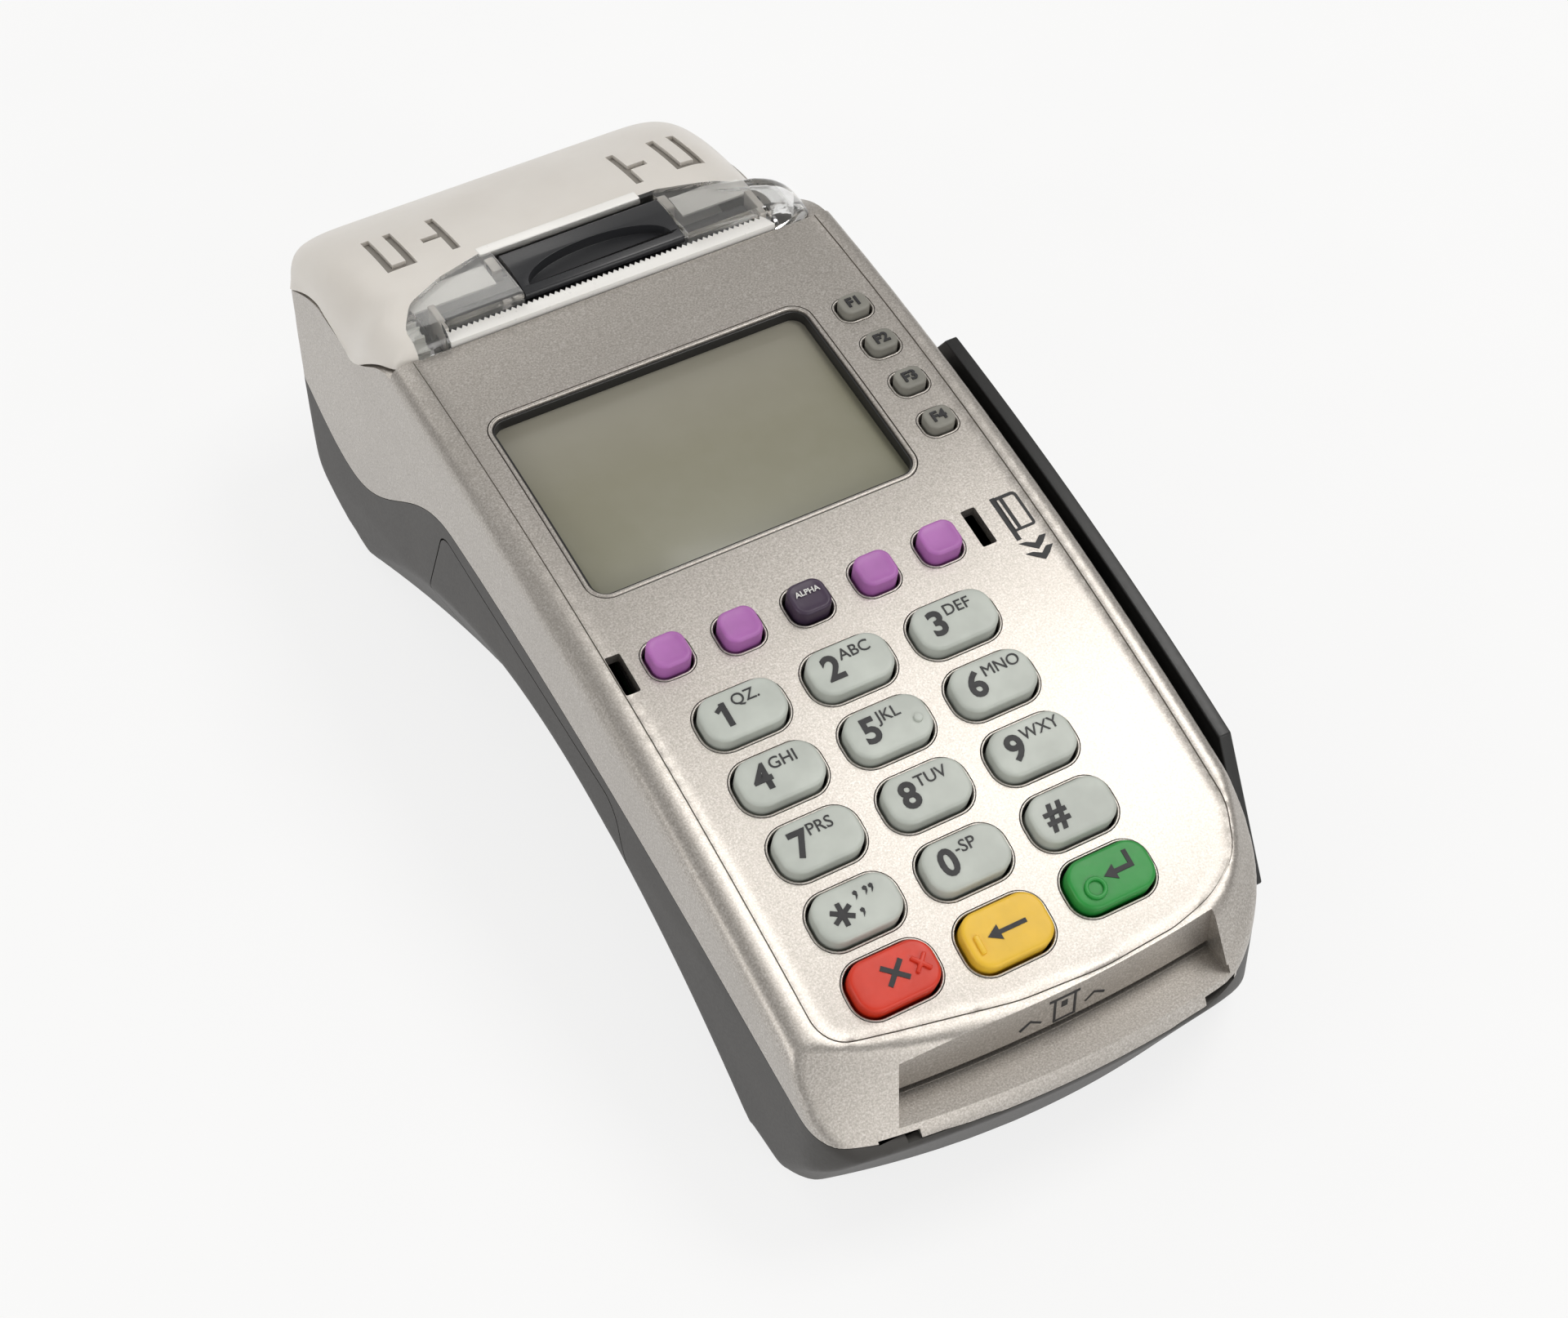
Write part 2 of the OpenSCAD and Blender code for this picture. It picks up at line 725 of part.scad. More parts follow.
spring_half_l = 12;
spring_t = 0.6;
spring_depth = [5, 8];
module swipe_spring() {
    strip_x = -head_back - 0.7;
    color([0.75, 0.75, 0.78])
        on_face(right_w, head_s) {
            block([strip_x - spring_t, strip_x], [-spring_half_l, spring_half_l], [-spring_depth[1], -spring_depth[0]]);
            for (side = [-1, 1])
                translate([0, side * (spring_half_l - 1), 0])
                    block([strip_x - spring_t, -shell_t - tiny], [-1, 1], [-spring_depth[1], -spring_depth[0]]);
        }
}

// Screws that join the housings, as plan points
screw_front = 21;
screw_rear = 25;
screw_left = 38.2;
screw_right = 35;
screw_shift = [0.2, 1.5];
screw_points = [
    [-screw_left, nose_y + screw_front],
    [screw_right, nose_y + screw_front],
    [-screw_left + screw_shift[0], rear_y - screw_rear],
    [screw_right + screw_shift[1], rear_y - screw_rear]
];
boss_r = 3.4;
head_t = 2;
function seam_height(y) = y < seam_crest_y ? seam_rise(y) : y < seam_dip_y ? seam_drop(y) : seam_tail_z(y);
post_top = [
    for (p = screw_points) p[1] < 0 ? face_z(p[1]) - shell_t : rim_z - 6
];
function screw_reach(y) = y < 0 ? 3.4 : 6;

module screw_posts() {
    for (k = [0:3])
        translate([screw_points[k][0], screw_points[k][1], seam_height(screw_points[k][1]) + seam_gap / 2])
            cylinder(r = boss_r, h = post_top[k] - seam_height(screw_points[k][1]) + 1);
}

module screw_bosses() {
    for (p = screw_points)
        translate([p[0], p[1], foot_h + tiny])
            cylinder(r = boss_r, h = seam_height(p[1]) - foot_h);
}

module screw_bores() {
    for (p = screw_points)
        translate([p[0], p[1], -1])
            cylinder(r = screw_r + run_gap, h = seam_height(p[1]) + screw_reach(p[1]) + 1);
}

module screw_head_bores() {
    for (p = screw_points)
        translate([p[0], p[1], -1])
            cylinder(r = screw_head_r + run_gap, h = foot_h + head_t + 1);
}

module housing_screws() {
    color([0.35, 0.35, 0.37])
        for (p = screw_points)
            translate([p[0], p[1], foot_h]) {
                cylinder(r = screw_head_r, h = head_t);
                cylinder(r = screw_r, h = seam_height(p[1]) - foot_h + screw_reach(p[1]) - 0.6);
            }
}

// Room for the platen gear in the walls round it
tooth_rise = 0.32 * gear_m / 0.5;
module gear_relief() {
    x_rod([-gear_x - gear_w - fit_gap, -gear_x + fit_gap], platen, platen_gear_r + tooth_rise + fit_gap);
}

// Hinge ears of the housing, between the cover's knuckles
ear_spans = [[-32, -28], [-7, 7], [28, 32]];
knuckle_spans = [[-27.6, -7.4], [7.4, 27.6]];
rear_wall_top = hinge[1] - swing_r;
module hinge_ears() {
    for (e = ear_spans) {
        x_rod(e, hinge, knuckle_r);
        block(e, [hinge[0] - 1.5, hinge[0] + 1.4], [rear_wall_top - 4, hinge[1]]);
    }
}

// Housings
module upper_housing() {
    color([0.68, 0.65, 0.62])
        difference() {
            union() {
                intersection() {
                    difference() {
                        union() {
                            shell();
                            intersection() {
                                envelope(0);
                                screw_posts();
                            }
                        }
                        cover_zone(0);
                        block([-far, far], [hinge[0], rear_y + 5], [rear_wall_top, sky_z]);
                        x_rod([-far, far], hinge, swing_r);
                    }
                    above_seam(seam_gap / 2);
                }
                intersection() {
                    envelope(0);
                    recess_block(0);
                }
                mat_rails();
                hinge_ears();
            }
            recess_cut();
            key_holes();
            shield_slots();
            head_window();
            screw_bores();
            x_rod([-far, far], hinge, hinge_pin_r + run_gap);
            gear_relief();
            on_face(key_x, display_s)
                rounded_slab(display_w, display_l, display_r, -shell_t - 1.5, 2);
        }
}

// Outline of the base door, seen from the side
door_front_y = -37;
door_rear_y = 37;
door_front_rise = 35;
door_rear_rise = 40;
door_outline = round_pts([
    [door_front_y - 2, foot_h - 3],
    [door_rear_y + 2, foot_h - 3],
    [door_rear_y, bay_z - 2],
    [door_rear_y - 7, door_rear_rise],
    [door_front_y + 5, door_front_rise],
    [door_front_y, bay_z - 2]
], [0, 0, 0, 4, 6, 0], 4);
bay_wall = 1.6;
bay_y = [door_front_y - 4, door_rear_y + 4];

// Ceiling of the cable bay with a wall at each end
module bay_tunnel() {
    block([-bay_half_w, bay_half_w], bay_y, [bay_z, bay_z + bay_wall]);
    for (y = [bay_y[0], bay_y[1] - bay_wall])
        block([-bay_half_w, bay_half_w], [y, y + bay_wall], [foot_h + tiny, bay_z + tiny]);
}

// Ribs that carry the chip card reader, the printer frame and the paper bucket
frame_low = 30;
rib_t = 2;
module inner_ribs() {
    for (x = [-24, 22])
        block([x, x + rib_t], [recess_y + 8, recess_y + 36], [foot_h + tiny, ledge_z - reader_low]);
    for (side = [-1, 1])
        block(side > 0 ? [cheek_x - 1, cheek_x + cheek_t + 1] : [-cheek_x - cheek_t - 1, -cheek_x + 1],
            [motor_at[0] + 2.5, motor_at[0] + 7.5], [foot_h + tiny, frame_low]);
    difference() {
        for (x = [-21, 19])
            block([x, x + rib_t], [roll_at[0] - 12, roll_at[0] + 8], [foot_h + tiny, roll_at[1] - bucket_r + 8]);
        x_rod([-far, far], roll_at, bucket_r + tiny);
    }
}

module cable_notch() {
    block([-10, 10], [bay_y[1] - bay_wall - 1, bay_y[1] + 1], [foot_h + shell_t, foot_h + shell_t + 9]);
}

module lower_housing() {
    color([0.29, 0.28, 0.27])
        difference() {
            union() {
                intersection() {
                    shell();
                    below_seam(seam_gap / 2);
                }
                intersection() {
                    envelope(0);
                    below_seam(seam_gap / 2);
                    union() {
                        bay_tunnel();
                        inner_ribs();
                        screw_bosses();
                    }
                }
            }
            intersection() {
                side_slab(-far, far)
                    polygon(door_outline);
                door_skin(-door_gap);
            }
            cable_notch();
            recess_block(seam_gap);
            head_window();
            screw_bores();
            screw_head_bores();
        }
}

// The skin of the body that the base door is cut from, grown inwards by g
module door_skin(g) {
    difference() {
        envelope(-1);
        envelope(shell_t - g);
    }
}

module base_door() {
    color([0.27, 0.26, 0.25])
        intersection() {
            shell();
            side_slab(-far, far)
                polygon(inset_pts(door_outline, door_gap));
        }
}

// Swipe rail: an outer wall and the slot's floor, swept along the face
rail_s = [-74, 42];
rail_ramp_s = [-62, 20];
rail_floor_t = 4;
module swipe_rail() {
    low = slot_depth + rail_floor_t;
    color([0.08, 0.08, 0.08])
        difference() {
            translate([0, face_peak_y, face_axis_z])
                rotate([0, 90, 0])
                    rotate([0, 0, 180 - face_angle(rail_s[0])])
                        rotate_extrude(angle = face_angle(rail_s[0]) - face_angle(rail_s[1]), $fn = fine_fn)
                            difference() {
                                translate([face_r - low, right_w])
                                    square([low - rail_drop, slot_w + rail_t]);
                                translate([face_r - slot_depth, right_w - 1])
                                    square([slot_depth + 1, slot_w + 1]);
                            }
            on_face(right_w, rail_ramp_s[1])
                rotate([-45, 0, 0])
                    block([-1, far], [-far, 0], [-far, far]);
            on_face(right_w, rail_ramp_s[0])
                rotate([30, 0, 0])
                    block([-1, far], [0, far], [-far, far]);
        }
}

// Paper cover
cover_left = left_w + flank_lean * 9;
cover_front_y = panel_rear_y + cover_gap;
cover_flat_y = panel_rear_y + 15;
cover_side = concat(
    [[cover_front_y, 20], [rear_y, 20]],
    bezier_pts([rear_y, hinge[1] + 1], [rear_y - 0.5, hinge[1] + 14.3],
        [cover_flat_y + 20, cover_top_z - 0.7], [cover_flat_y, cover_top_z], 10),
    arc_pts([cover_front_y + 3, cover_top_z - 3], 3, 90, 180, 4)
);
cover_section = round_pts([
    [-cover_left, 20],
    [right_w, 20],
    [right_w, cover_top_z],
    [-cover_left, cover_top_z]
], [0, 0, cover_side_r, cover_side_r], 6);

// The dome behind the latch slopes to the right and is rounder on the left
dome_front_y = panel_rear_y + 14;
dome_right_h = cover_top_z - 35;
dome_section = concat(
    [[-cover_left, 20], [right_w, 20]],
    [for (k = [0:10]) let (a = 9 * k)
        [right_w - dome_right_w * (1 - cos(a)), cover_top_z - dome_right_h * (1 - sin(a))]],
    arc_pts([dome_left_r - cover_left, cover_top_z - dome_left_r], dome_left_r, 90, 180, 6)
);

module cover_form(i) {
    intersection() {
        union() {
            block([-far, far], [-far, dome_front_y - i], [0, sky_z]);
            translate([0, far, 0])
                rotate([90, 0, 0])
                    linear_extrude(2 * far)
                        polygon(inset_pts(dome_section, i));
        }
        side_slab(-far, far)
            polygon(inset_pts(cover_side, i));
        linear_extrude(sky_z)
            polygon(inset_pts(plan_outline, i));
        translate([0, far, 0])
            rotate([90, 0, 0])
                linear_extrude(2 * far)
                    polygon(inset_pts(cover_section, i));
    }
}

// Latch places
latch_front_y = panel_rear_y + 4.2;
latch_pin_at = [latch_front_y + latch_l - 2, cover_top_z - 3.2];
latch_gap = 0.4;
latch_t = 2.4;
latch_lug_w = 2;

module latch_cut() {
    block([-latch_w / 2 - latch_gap, latch_w / 2 + latch_gap],
        [latch_front_y - latch_gap, latch_front_y + latch_l + 2 * latch_gap], [cover_top_z - cover_t - 2, sky_z]);
}

// Lugs under the cover that hold the latch's pins
module latch_lugs() {
    for (side = [-1, 1])
        translate([side * (latch_w / 2 + latch_gap + latch_lug_w / 2), 0, 0])
            block([-latch_lug_w / 2, latch_lug_w / 2], [latch_pin_at[0] - 2, latch_pin_at[0] + 2],
                [latch_pin_at[1] - 2, cover_top_z - cover_t + tiny]);
}

// Lugs under the cover that hold the platen shaft
module platen_lugs() {
    for (side = [-1, 1])
        translate([side * (lug_x + lug_t / 2), 0, 0])
            block([-lug_t / 2, lug_t / 2], [platen[0] - 3, platen[0] + 3],
                [platen[1] - 3, cover_top_z - cover_t + tiny]);
}

module ear_notches() {
    for (e = ear_spans)
        block([e[0] - cover_gap, e[1] + cover_gap], [hinge[0] - 6, rear_y + 1], [0, hinge[1] + knuckle_r + 0.6]);
}

module cover_knuckles() {
    for (e = knuckle_spans) {
        x_rod(e, hinge, knuckle_r);
        intersection() {
            block(e, [hinge[0] - 1.4, rear_y], [hinge[1], hinge[1] + 6]);
            cover_form(0);
        }
    }
}

tear_z = 59.4;
tear_t = 1.8;
tear_half_w = 30.5;
tear_l = 2.6;
tooth_pitch = 1.6;
tooth_l = 0.8;

module paper_cover() {
    color([0.86, 0.85, 0.82])
        difference() {
            union() {
                intersection() {
                    difference() {
                        cover_form(0);
                        cover_form(cover_t);
                    }
                    cover_zone(cover_gap);
                }
                latch_lugs();
                platen_lugs();
                cover_knuckles();
            }
            latch_cut();
            ear_notches();
            block([-tear_half_w, tear_half_w], [cover_front_y - 1, cover_front_y + tooth_l + tear_l], [0, tear_z + tear_t]);
            gear_relief();
            x_rod([-far, far], latch_pin_at, latch_pin_r + run_gap);
            x_rod([-far, far], platen, shaft_r + run_gap);
            x_rod([-far, far], hinge, hinge_pin_r + run_gap);
        }
}

module tear_bar() {
    color([0.9, 0.92, 0.92, 0.6])
        translate([0, cover_front_y + tooth_l, tear_z])
            linear_extrude(tear_t)
                polygon(concat(
                    [[-tear_half_w, tear_l], [-tear_half_w, 0]],
                    [for (k = [0:floor(2 * tear_half_w / tooth_pitch) - 1]) each [
                        [-tear_half_w + (k + 0.5) * tooth_pitch, -tooth_l],
                        [-tear_half_w + (k + 1) * tooth_pitch, 0]
                    ]],
                    [[tear_half_w, 0], [tear_half_w, tear_l]]
                ));
}

module cover_latch() {
    scoop_r = 24;
    scoop_in = 2.4;
    scoop_floor_t = 1;
    knob_r = 2;
    latch_pin_x = latch_w / 2 + latch_gap + latch_lug_w - 0.2;
    color([0.1, 0.1, 0.11])
        difference() {
            union() {
                block([-latch_w / 2, latch_w / 2], [latch_front_y, latch_front_y + latch_l - 1],
                    [cover_top_z - latch_t, cover_top_z]);
                x_rod([-latch_w / 2, latch_w / 2], latch_pin_at, knob_r);
                x_rod([-latch_pin_x, latch_pin_x], latch_pin_at, latch_pin_r);
                block([-latch_w / 2, latch_w / 2], [latch_pin_at[0] - knob_r, latch_pin_at[0]],
                    [latch_pin_at[1], cover_top_z - tiny]);
            }
            translate([0, latch_front_y + scoop_in - scoop_r, cover_top_z - latch_t + scoop_floor_t])
                cylinder(r = scoop_r, h = 10, $fn = 180);
        }
}

module hinge_pin() {
    color([0.7, 0.7, 0.72])
        x_rod([ear_spans[0][0], ear_spans[2][1]], hinge, hinge_pin_r);
}

// Printing gear
module gear(teeth, bore) {
    pitch_r = gear_m * teeth / 2;
    root_r = pitch_r - 0.6 * gear_m / 0.5;
    tip_r = pitch_r + tooth_rise;
    root_half = 0.42 * 180 / teeth;
    tip_half = 0.2 * 180 / teeth;
    difference() {
        union() {
            circle(root_r);
            for (k = [0:teeth - 1])
                rotate(k * 360 / teeth)
                    polygon([
                        [root_r - 0.3, -root_r * sin(root_half)],
                        [tip_r, -tip_r * sin(tip_half)],
                        [tip_r, tip_r * sin(tip_half)],
                        [root_r - 0.3, root_r * sin(root_half)]
                    ]);
        }
        if (bore > 0)
            circle(bore);
    }
}

// A gear on the left of the printer, turned by a about its axis at p
module placed_gear(p, teeth, bore, a) {
    side_slab(-gear_x - gear_w, -gear_x)
        translate(p)
            rotate(a)
                gear(teeth, bore);
}

// Each gear is turned so that a tooth of one stands in a gap of the next
mesh_angle = atan2(opening_way[1], opening_way[0]);
idler_turn = mesh_angle;
platen_turn = mesh_angle + 180 + 180 / platen_teeth;
pinion_way = atan2(motor_way[1], motor_way[0]);
idler_phase = (pinion_way - idler_turn) * idler_teeth / 360;
pinion_turn = pinion_way + 180 + (0.5 + idler_phase) * 360 / pinion_teeth;
axle_r = 1.2;

module platen_gear() {
    color([0.9, 0.9, 0.88])
        placed_gear(platen, platen_teeth, shaft_r, platen_turn);
}

module idler_gear() {
    color([0.9, 0.9, 0.88])
        placed_gear(idler, idler_teeth, axle_r + run_gap, idler_turn);
}

// The pinion is cut on the motor's shaft
module motor_pinion() {
    color([0.8, 0.68, 0.35]) {
        placed_gear(motor_at, pinion_teeth, 0, pinion_turn);
        x_rod([-gear_x - tiny, motor_x[1] - 2 - fit_gap], motor_at, axle_r);
    }
}

shaft_end = gear_x + gear_w + 0.5;
module platen_shaft() {
    color([0.7, 0.7, 0.72])
        x_rod([-shaft_end, cheek_x + cheek_t + 0.5], platen, shaft_r);
}

module platen_roller() {
    color([0.12, 0.12, 0.12])
        difference() {
            x_rod([-platen_l / 2, platen_l / 2], platen, platen_r);
            x_rod([-far, far], platen, shaft_r);
        }
}

// The motor's body, which is fixed
motor_x = [-cheek_x, -cheek_x + motor_l];
module stepper_motor() {
    color([0.6, 0.6, 0.62])
        difference() {
            x_rod(motor_x, motor_at, motor_r);
            x_rod([-far, motor_x[1] - 2], motor_at, axle_r + run_gap);
        }
}

// Frame of the printer: two cheeks, a cross plate and the idler's axle
notch_clear = 0.4;
frame_top = platen[1] + 1.6;
cross_y = [panel_rear_y - 4.8, panel_rear_y - 2.8];
cross_low = motor_at[1] + motor_r + 0.8;
cheek_outline = round_pts([
    [motor_at[0] - motor_r, frame_low],
    [idler[0] + 4, frame_low],
    [platen[0] + 5, platen[1] - 10],
    [platen[0] + 5, frame_top],
    [cross_y[0], frame_top],
    [cross_y[0], cross_low],
    [motor_at[0] - motor_r, motor_at[1] + 2]
], [2, 3, 2, 0, 0, 0, 2], 3);

module cheek() {
    difference() {
        polygon(cheek_outline);
        translate(platen) {
            circle(shaft_r + notch_clear);
            rotate(mesh_angle)
                translate([0, -shaft_r - notch_clear])
                    square([10, 2 * (shaft_r + notch_clear)]);
            rotate(mesh_angle - 24)
                translate([0, -shaft_r - notch_clear])
                    square([10, 2 * (shaft_r + notch_clear)]);
        }
        translate(motor_at)
            circle(axle_r + 0.6);
    }
}

module printer_frame() {
    color([0.62, 0.63, 0.65]) {
        side_slab(-cheek_x - cheek_t, -cheek_x)
            cheek();
        side_slab(cheek_x, cheek_x + cheek_t)
            cheek();
        block([-cheek_x - tiny, cheek_x + tiny], cross_y, [cross_low, frame_top]);
        x_rod([-gear_x - gear_w - 0.4, -cheek_x - 1], idler, axle_r);
    }
}

head_gap = 0.3;
print_head_t = 2.5;
print_head_y = platen[0] - platen_r - head_gap;
module print_head() {
    color([0.3, 0.32, 0.3])
        block([-platen_l / 2 + 1, platen_l / 2 - 1], [print_head_y - print_head_t, print_head_y],
            [cross_low + 0.5, frame_top - 0.4]);
}

// Two bent leaves that press the head on the platen
leaf_x = 14;
leaf_half_w = 3;
leaf_half_h = 3.2;
leaf_t = 0.6;
leaf_foot = 0.5;
module head_spring() {
    gap = print_head_y - print_head_t - cross_y[1];
    mid_z = (cross_low + frame_top) / 2;
    color([0.75, 0.75, 0.78])
        for (side = [-1, 1])
            side_slab(side * leaf_x - leaf_half_w, side * leaf_x + leaf_half_w)
                polygon([
                    [cross_y[1], mid_z - leaf_half_h],
                    [cross_y[1] + leaf_foot, mid_z - leaf_half_h],
                    [cross_y[1] + gap - tiny, mid_z],
                    [cross_y[1] + leaf_foot, mid_z + leaf_half_h],
                    [cross_y[1], mid_z + leaf_half_h],
                    [cross_y[1] + gap - tiny - leaf_t, mid_z]
                ]);
}

bucket_half_w = roll_w / 2 + 0.5;
bucket_wall_top = 41;
module paper_bucket() {
    color([0.25, 0.25, 0.25])
        difference() {
            union() {
                x_rod([-bucket_half_w - 1, bucket_half_w + 1], roll_at, bucket_r);
                block([-bucket_half_w - 1, bucket_half_w + 1], [roll_at[0] - bucket_r, roll_at[0] + bucket_r],
                    [roll_at[1], bucket_wall_top]);
            }
            x_rod([-bucket_half_w, bucket_half_w], roll_at, bucket_r - bucket_t);
            block([-bucket_half_w, bucket_half_w],
                [roll_at[0] - bucket_r + bucket_t, roll_at[0] + bucket_r - bucket_t], [roll_at[1], sky_z]);
            block([-far, far], [0, far], [bucket_wall_top, sky_z]);
        }
}

module paper_roll() {
    color([0.95, 0.95, 0.93])
        difference() {
            x_rod([-roll_w / 2, roll_w / 2], roll_at, roll_r);
            x_rod([-far, far], roll_at, core_r);
        }
}

// Chip card reader
reader_w = recess_w + 3;
reader_y = [recess_y + recess_wall + fit_gap, recess_y + recess_wall + fit_gap + reader_l];
module chip_reader() {
    color([0.2, 0.2, 0.2])
        difference() {
            translate([recess_x, 0, 0])
                block([-reader_w / 2, reader_w / 2], reader_y,
                    [ledge_z - reader_low, ledge_z + mouth_h + reader_top]);
            translate([recess_x, 0, 0])
                block([-recess_w / 2, recess_w / 2], [reader_y[0] - 1, reader_y[1] - 2], [ledge_z, ledge_z + mouth_h]);
            contact_window(0);
        }
}

contact_w = 13;
contact_l = 12;
module contact_window(i) {
    translate([recess_x, reader_y[1] - 17, ledge_z + mouth_h - 0.2])
        block([-contact_w / 2 + i, contact_w / 2 - i], [-contact_l / 2 + i, contact_l / 2 - i], [0, reader_top + 1]);
}

module chip_contacts() {
    color([0.83, 0.69, 0.3])
        intersection() {
            contact_window(tiny);
            block([-far, far], [-far, far], [ledge_z + mouth_h, ledge_z + mouth_h + reader_top]);
        }
}

// Jacks in the cable bay, hanging from its ceiling with their mouths to the rear
jack_front_y = bay_y[0] + bay_wall;
jack_l = 15;
jack_deep = 12;
module jack_block(x0, w, h) {
    block([x0, x0 + w], [jack_front_y, jack_front_y + jack_l], [bay_z - h, bay_z]);
}

module jack_mouth(x0, w, h, mouth) {
    translate([x0 + w / 2, jack_front_y + jack_l, bay_z - h / 2])
        block([-mouth[0] / 2, mouth[0] / 2], [-jack_deep, 1], [-mouth[1] / 2, mouth[1] / 2]);
}

net_mouth = [11.9, 8.2];
line_mouth = [9.9, 7];
net_w = 15.6;
net_h = 13;
line_w = 13.2;
line_h = 12;
power_w = 10;
power_h = 11;
power_bore_r = 3.2;
power_pin_r = 1;
net_x = -bay_half_w + 1;
data_x = net_x + net_w + 1;
line_x = data_x + net_w + 1;
power_x = line_x + line_w + 1;

module network_jack() {
    color([0.55, 0.56, 0.58])
        difference() {
            jack_block(net_x, net_w, net_h);
            jack_mouth(net_x, net_w, net_h, net_mouth);
        }
}

module data_jack() {
    color([0.15, 0.15, 0.15])
        difference() {
            jack_block(data_x, net_w, net_h);
            jack_mouth(data_x, net_w, net_h, net_mouth);
        }
}

module line_jack() {
    color([0.15, 0.15, 0.15])
        difference() {
            jack_block(line_x, line_w, line_h);
            jack_mouth(line_x, line_w, line_h, line_mouth);
        }
}

module power_jack() {
    color([0.1, 0.1, 0.1])
        difference() {
            jack_block(power_x, power_w, power_h);
            translate([power_x + power_w / 2, jack_front_y + jack_l + 1, bay_z - power_h / 2])
                rotate([90, 0, 0])
                    difference() {
                        cylinder(r = power_bore_r, h = jack_deep);
                        translate([0, 0, 3])
                            cylinder(r = power_pin_r, h = jack_deep);
                    }
        }
}

foot_left = 30;
foot_right = 28;
foot_front = 22.5;
foot_rear = 40;
foot_points = [
    [-foot_left, nose_y + foot_front],
    [foot_right, nose_y + foot_front],
    [-foot_left, rear_y - foot_rear],
    [foot_right, rear_y - foot_rear]
];
module rubber_feet() {
    color([0.12, 0.12, 0.12])
        for (p = foot_points)
            translate([p[0], p[1], 0])
                cylinder(r = foot_r, h = foot_h);
}

upper_housing();
lower_housing();
base_door();
swipe_rail();
display_bezel();
display_window();
lcd_module();
display_board();
function_mat();
keypad_mat();
main_board();
paper_cover();
cover_latch();
tear_bar();
hinge_pin();
platen_shaft();
platen_roller();
platen_gear();
idler_gear();
motor_pinion();
stepper_motor();
printer_frame();
print_head();
head_spring();
paper_bucket();
paper_roll();
swipe_head();
swipe_spring();
chip_reader();
chip_contacts();
network_jack();
data_jack();
line_jack();
power_jack();
rubber_feet();
housing_screws();
for (k = keys) {
    key(k);
}
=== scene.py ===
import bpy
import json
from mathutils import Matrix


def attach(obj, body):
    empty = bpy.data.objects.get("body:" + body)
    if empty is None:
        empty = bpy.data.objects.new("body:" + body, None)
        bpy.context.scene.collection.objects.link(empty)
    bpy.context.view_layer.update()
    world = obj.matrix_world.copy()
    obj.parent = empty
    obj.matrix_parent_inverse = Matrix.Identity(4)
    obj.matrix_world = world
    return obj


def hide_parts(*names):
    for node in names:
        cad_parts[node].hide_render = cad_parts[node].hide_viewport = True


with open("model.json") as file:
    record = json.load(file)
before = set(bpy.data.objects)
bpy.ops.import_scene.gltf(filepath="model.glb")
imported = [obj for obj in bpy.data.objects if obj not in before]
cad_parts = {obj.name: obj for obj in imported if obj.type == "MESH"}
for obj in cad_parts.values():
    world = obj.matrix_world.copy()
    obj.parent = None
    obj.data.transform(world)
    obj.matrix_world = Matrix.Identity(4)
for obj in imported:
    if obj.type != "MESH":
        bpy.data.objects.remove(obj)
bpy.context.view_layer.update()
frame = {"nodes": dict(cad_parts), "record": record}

import json
import math
import bpy
from mathutils import Matrix, Vector

mm = 0.001
nodes = frame["nodes"]
print("frame loaded,", len(nodes), "nodes")

# camera at the photo's view
photoView = {
    "place": (-0.15015, -0.29299, 0.38018),
    "right": (0.8756, -0.4827, -0.0175),
    "up": (0.3694, 0.6458, 0.6682),
    "lens": 66.55, "sensor": 36, "nearest": 0.01,
}
camera = bpy.data.objects.new("photoCamera", bpy.data.cameras.new("photoCamera"))
bpy.context.scene.collection.objects.link(camera)
right = Vector(photoView["right"]).normalized()
up = Vector(photoView["up"])
up = (up - right * up.dot(right)).normalized()
turned = Matrix((right, up, right.cross(up))).transposed().to_4x4()
camera.matrix_world = Matrix.Translation(photoView["place"]) @ turned
camera.data.lens = photoView["lens"]
camera.data.sensor_width = photoView["sensor"]
camera.data.sensor_fit = "HORIZONTAL"
camera.data.clip_start = photoView["nearest"]
bpy.context.scene.camera = camera
bpy.context.scene.view_settings.view_transform = "Standard"
print("camera placed")


# ways of working
def only(obj):
    bpy.ops.object.select_all(action="DESELECT")
    obj.select_set(True)
    bpy.context.view_layer.objects.active = obj


def fresh(primitive, **settings):
    bpy.ops.object.select_all(action="DESELECT")
    primitive(**settings)
    return bpy.context.object


def edited(obj, *steps):  # each operator gets the whole mesh
    only(obj)
    bpy.ops.object.mode_set(mode="EDIT")
    for operator, settings in steps:
        bpy.ops.mesh.select_all(action="SELECT")
        operator(**settings)
    bpy.ops.object.mode_set(mode="OBJECT")


outward = (bpy.ops.mesh.normals_make_consistent, {"inside": False})


def extrusion(move):
    return bpy.ops.mesh.extrude_region_move, {"TRANSFORM_OT_translate": {"value": move}}


def modify(obj, kind, **settings):
    only(obj)
    step = obj.modifiers.new(kind.lower(), kind)
    for key, value in settings.items():
        setattr(step, key, value)
    bpy.ops.object.modifier_apply(modifier=step.name)


def softEdges(obj, width, segments=3, angle=50):
    modify(obj, "BEVEL", width=width * mm, segments=segments, limit_method="ANGLE", angle_limit=math.radians(angle))


def voxels(obj, size, softening=0):
    modify(obj, "REMESH", mode="VOXEL", voxel_size=size * mm, adaptivity=0)
    if softening:
        modify(obj, "SMOOTH", factor=0.5, iterations=softening)


# a circle whose points are drawn to their places
def drawn(points, **settings):
    obj = fresh(bpy.ops.mesh.primitive_circle_add, vertices=len(points), radius=1, **settings)
    for vertex, point in zip(obj.data.vertices, points):
        vertex.co = Vector(point) * mm
    return obj


def drop(obj):
    mesh = obj.data
    bpy.data.objects.remove(obj)
    bpy.data.meshes.remove(mesh)


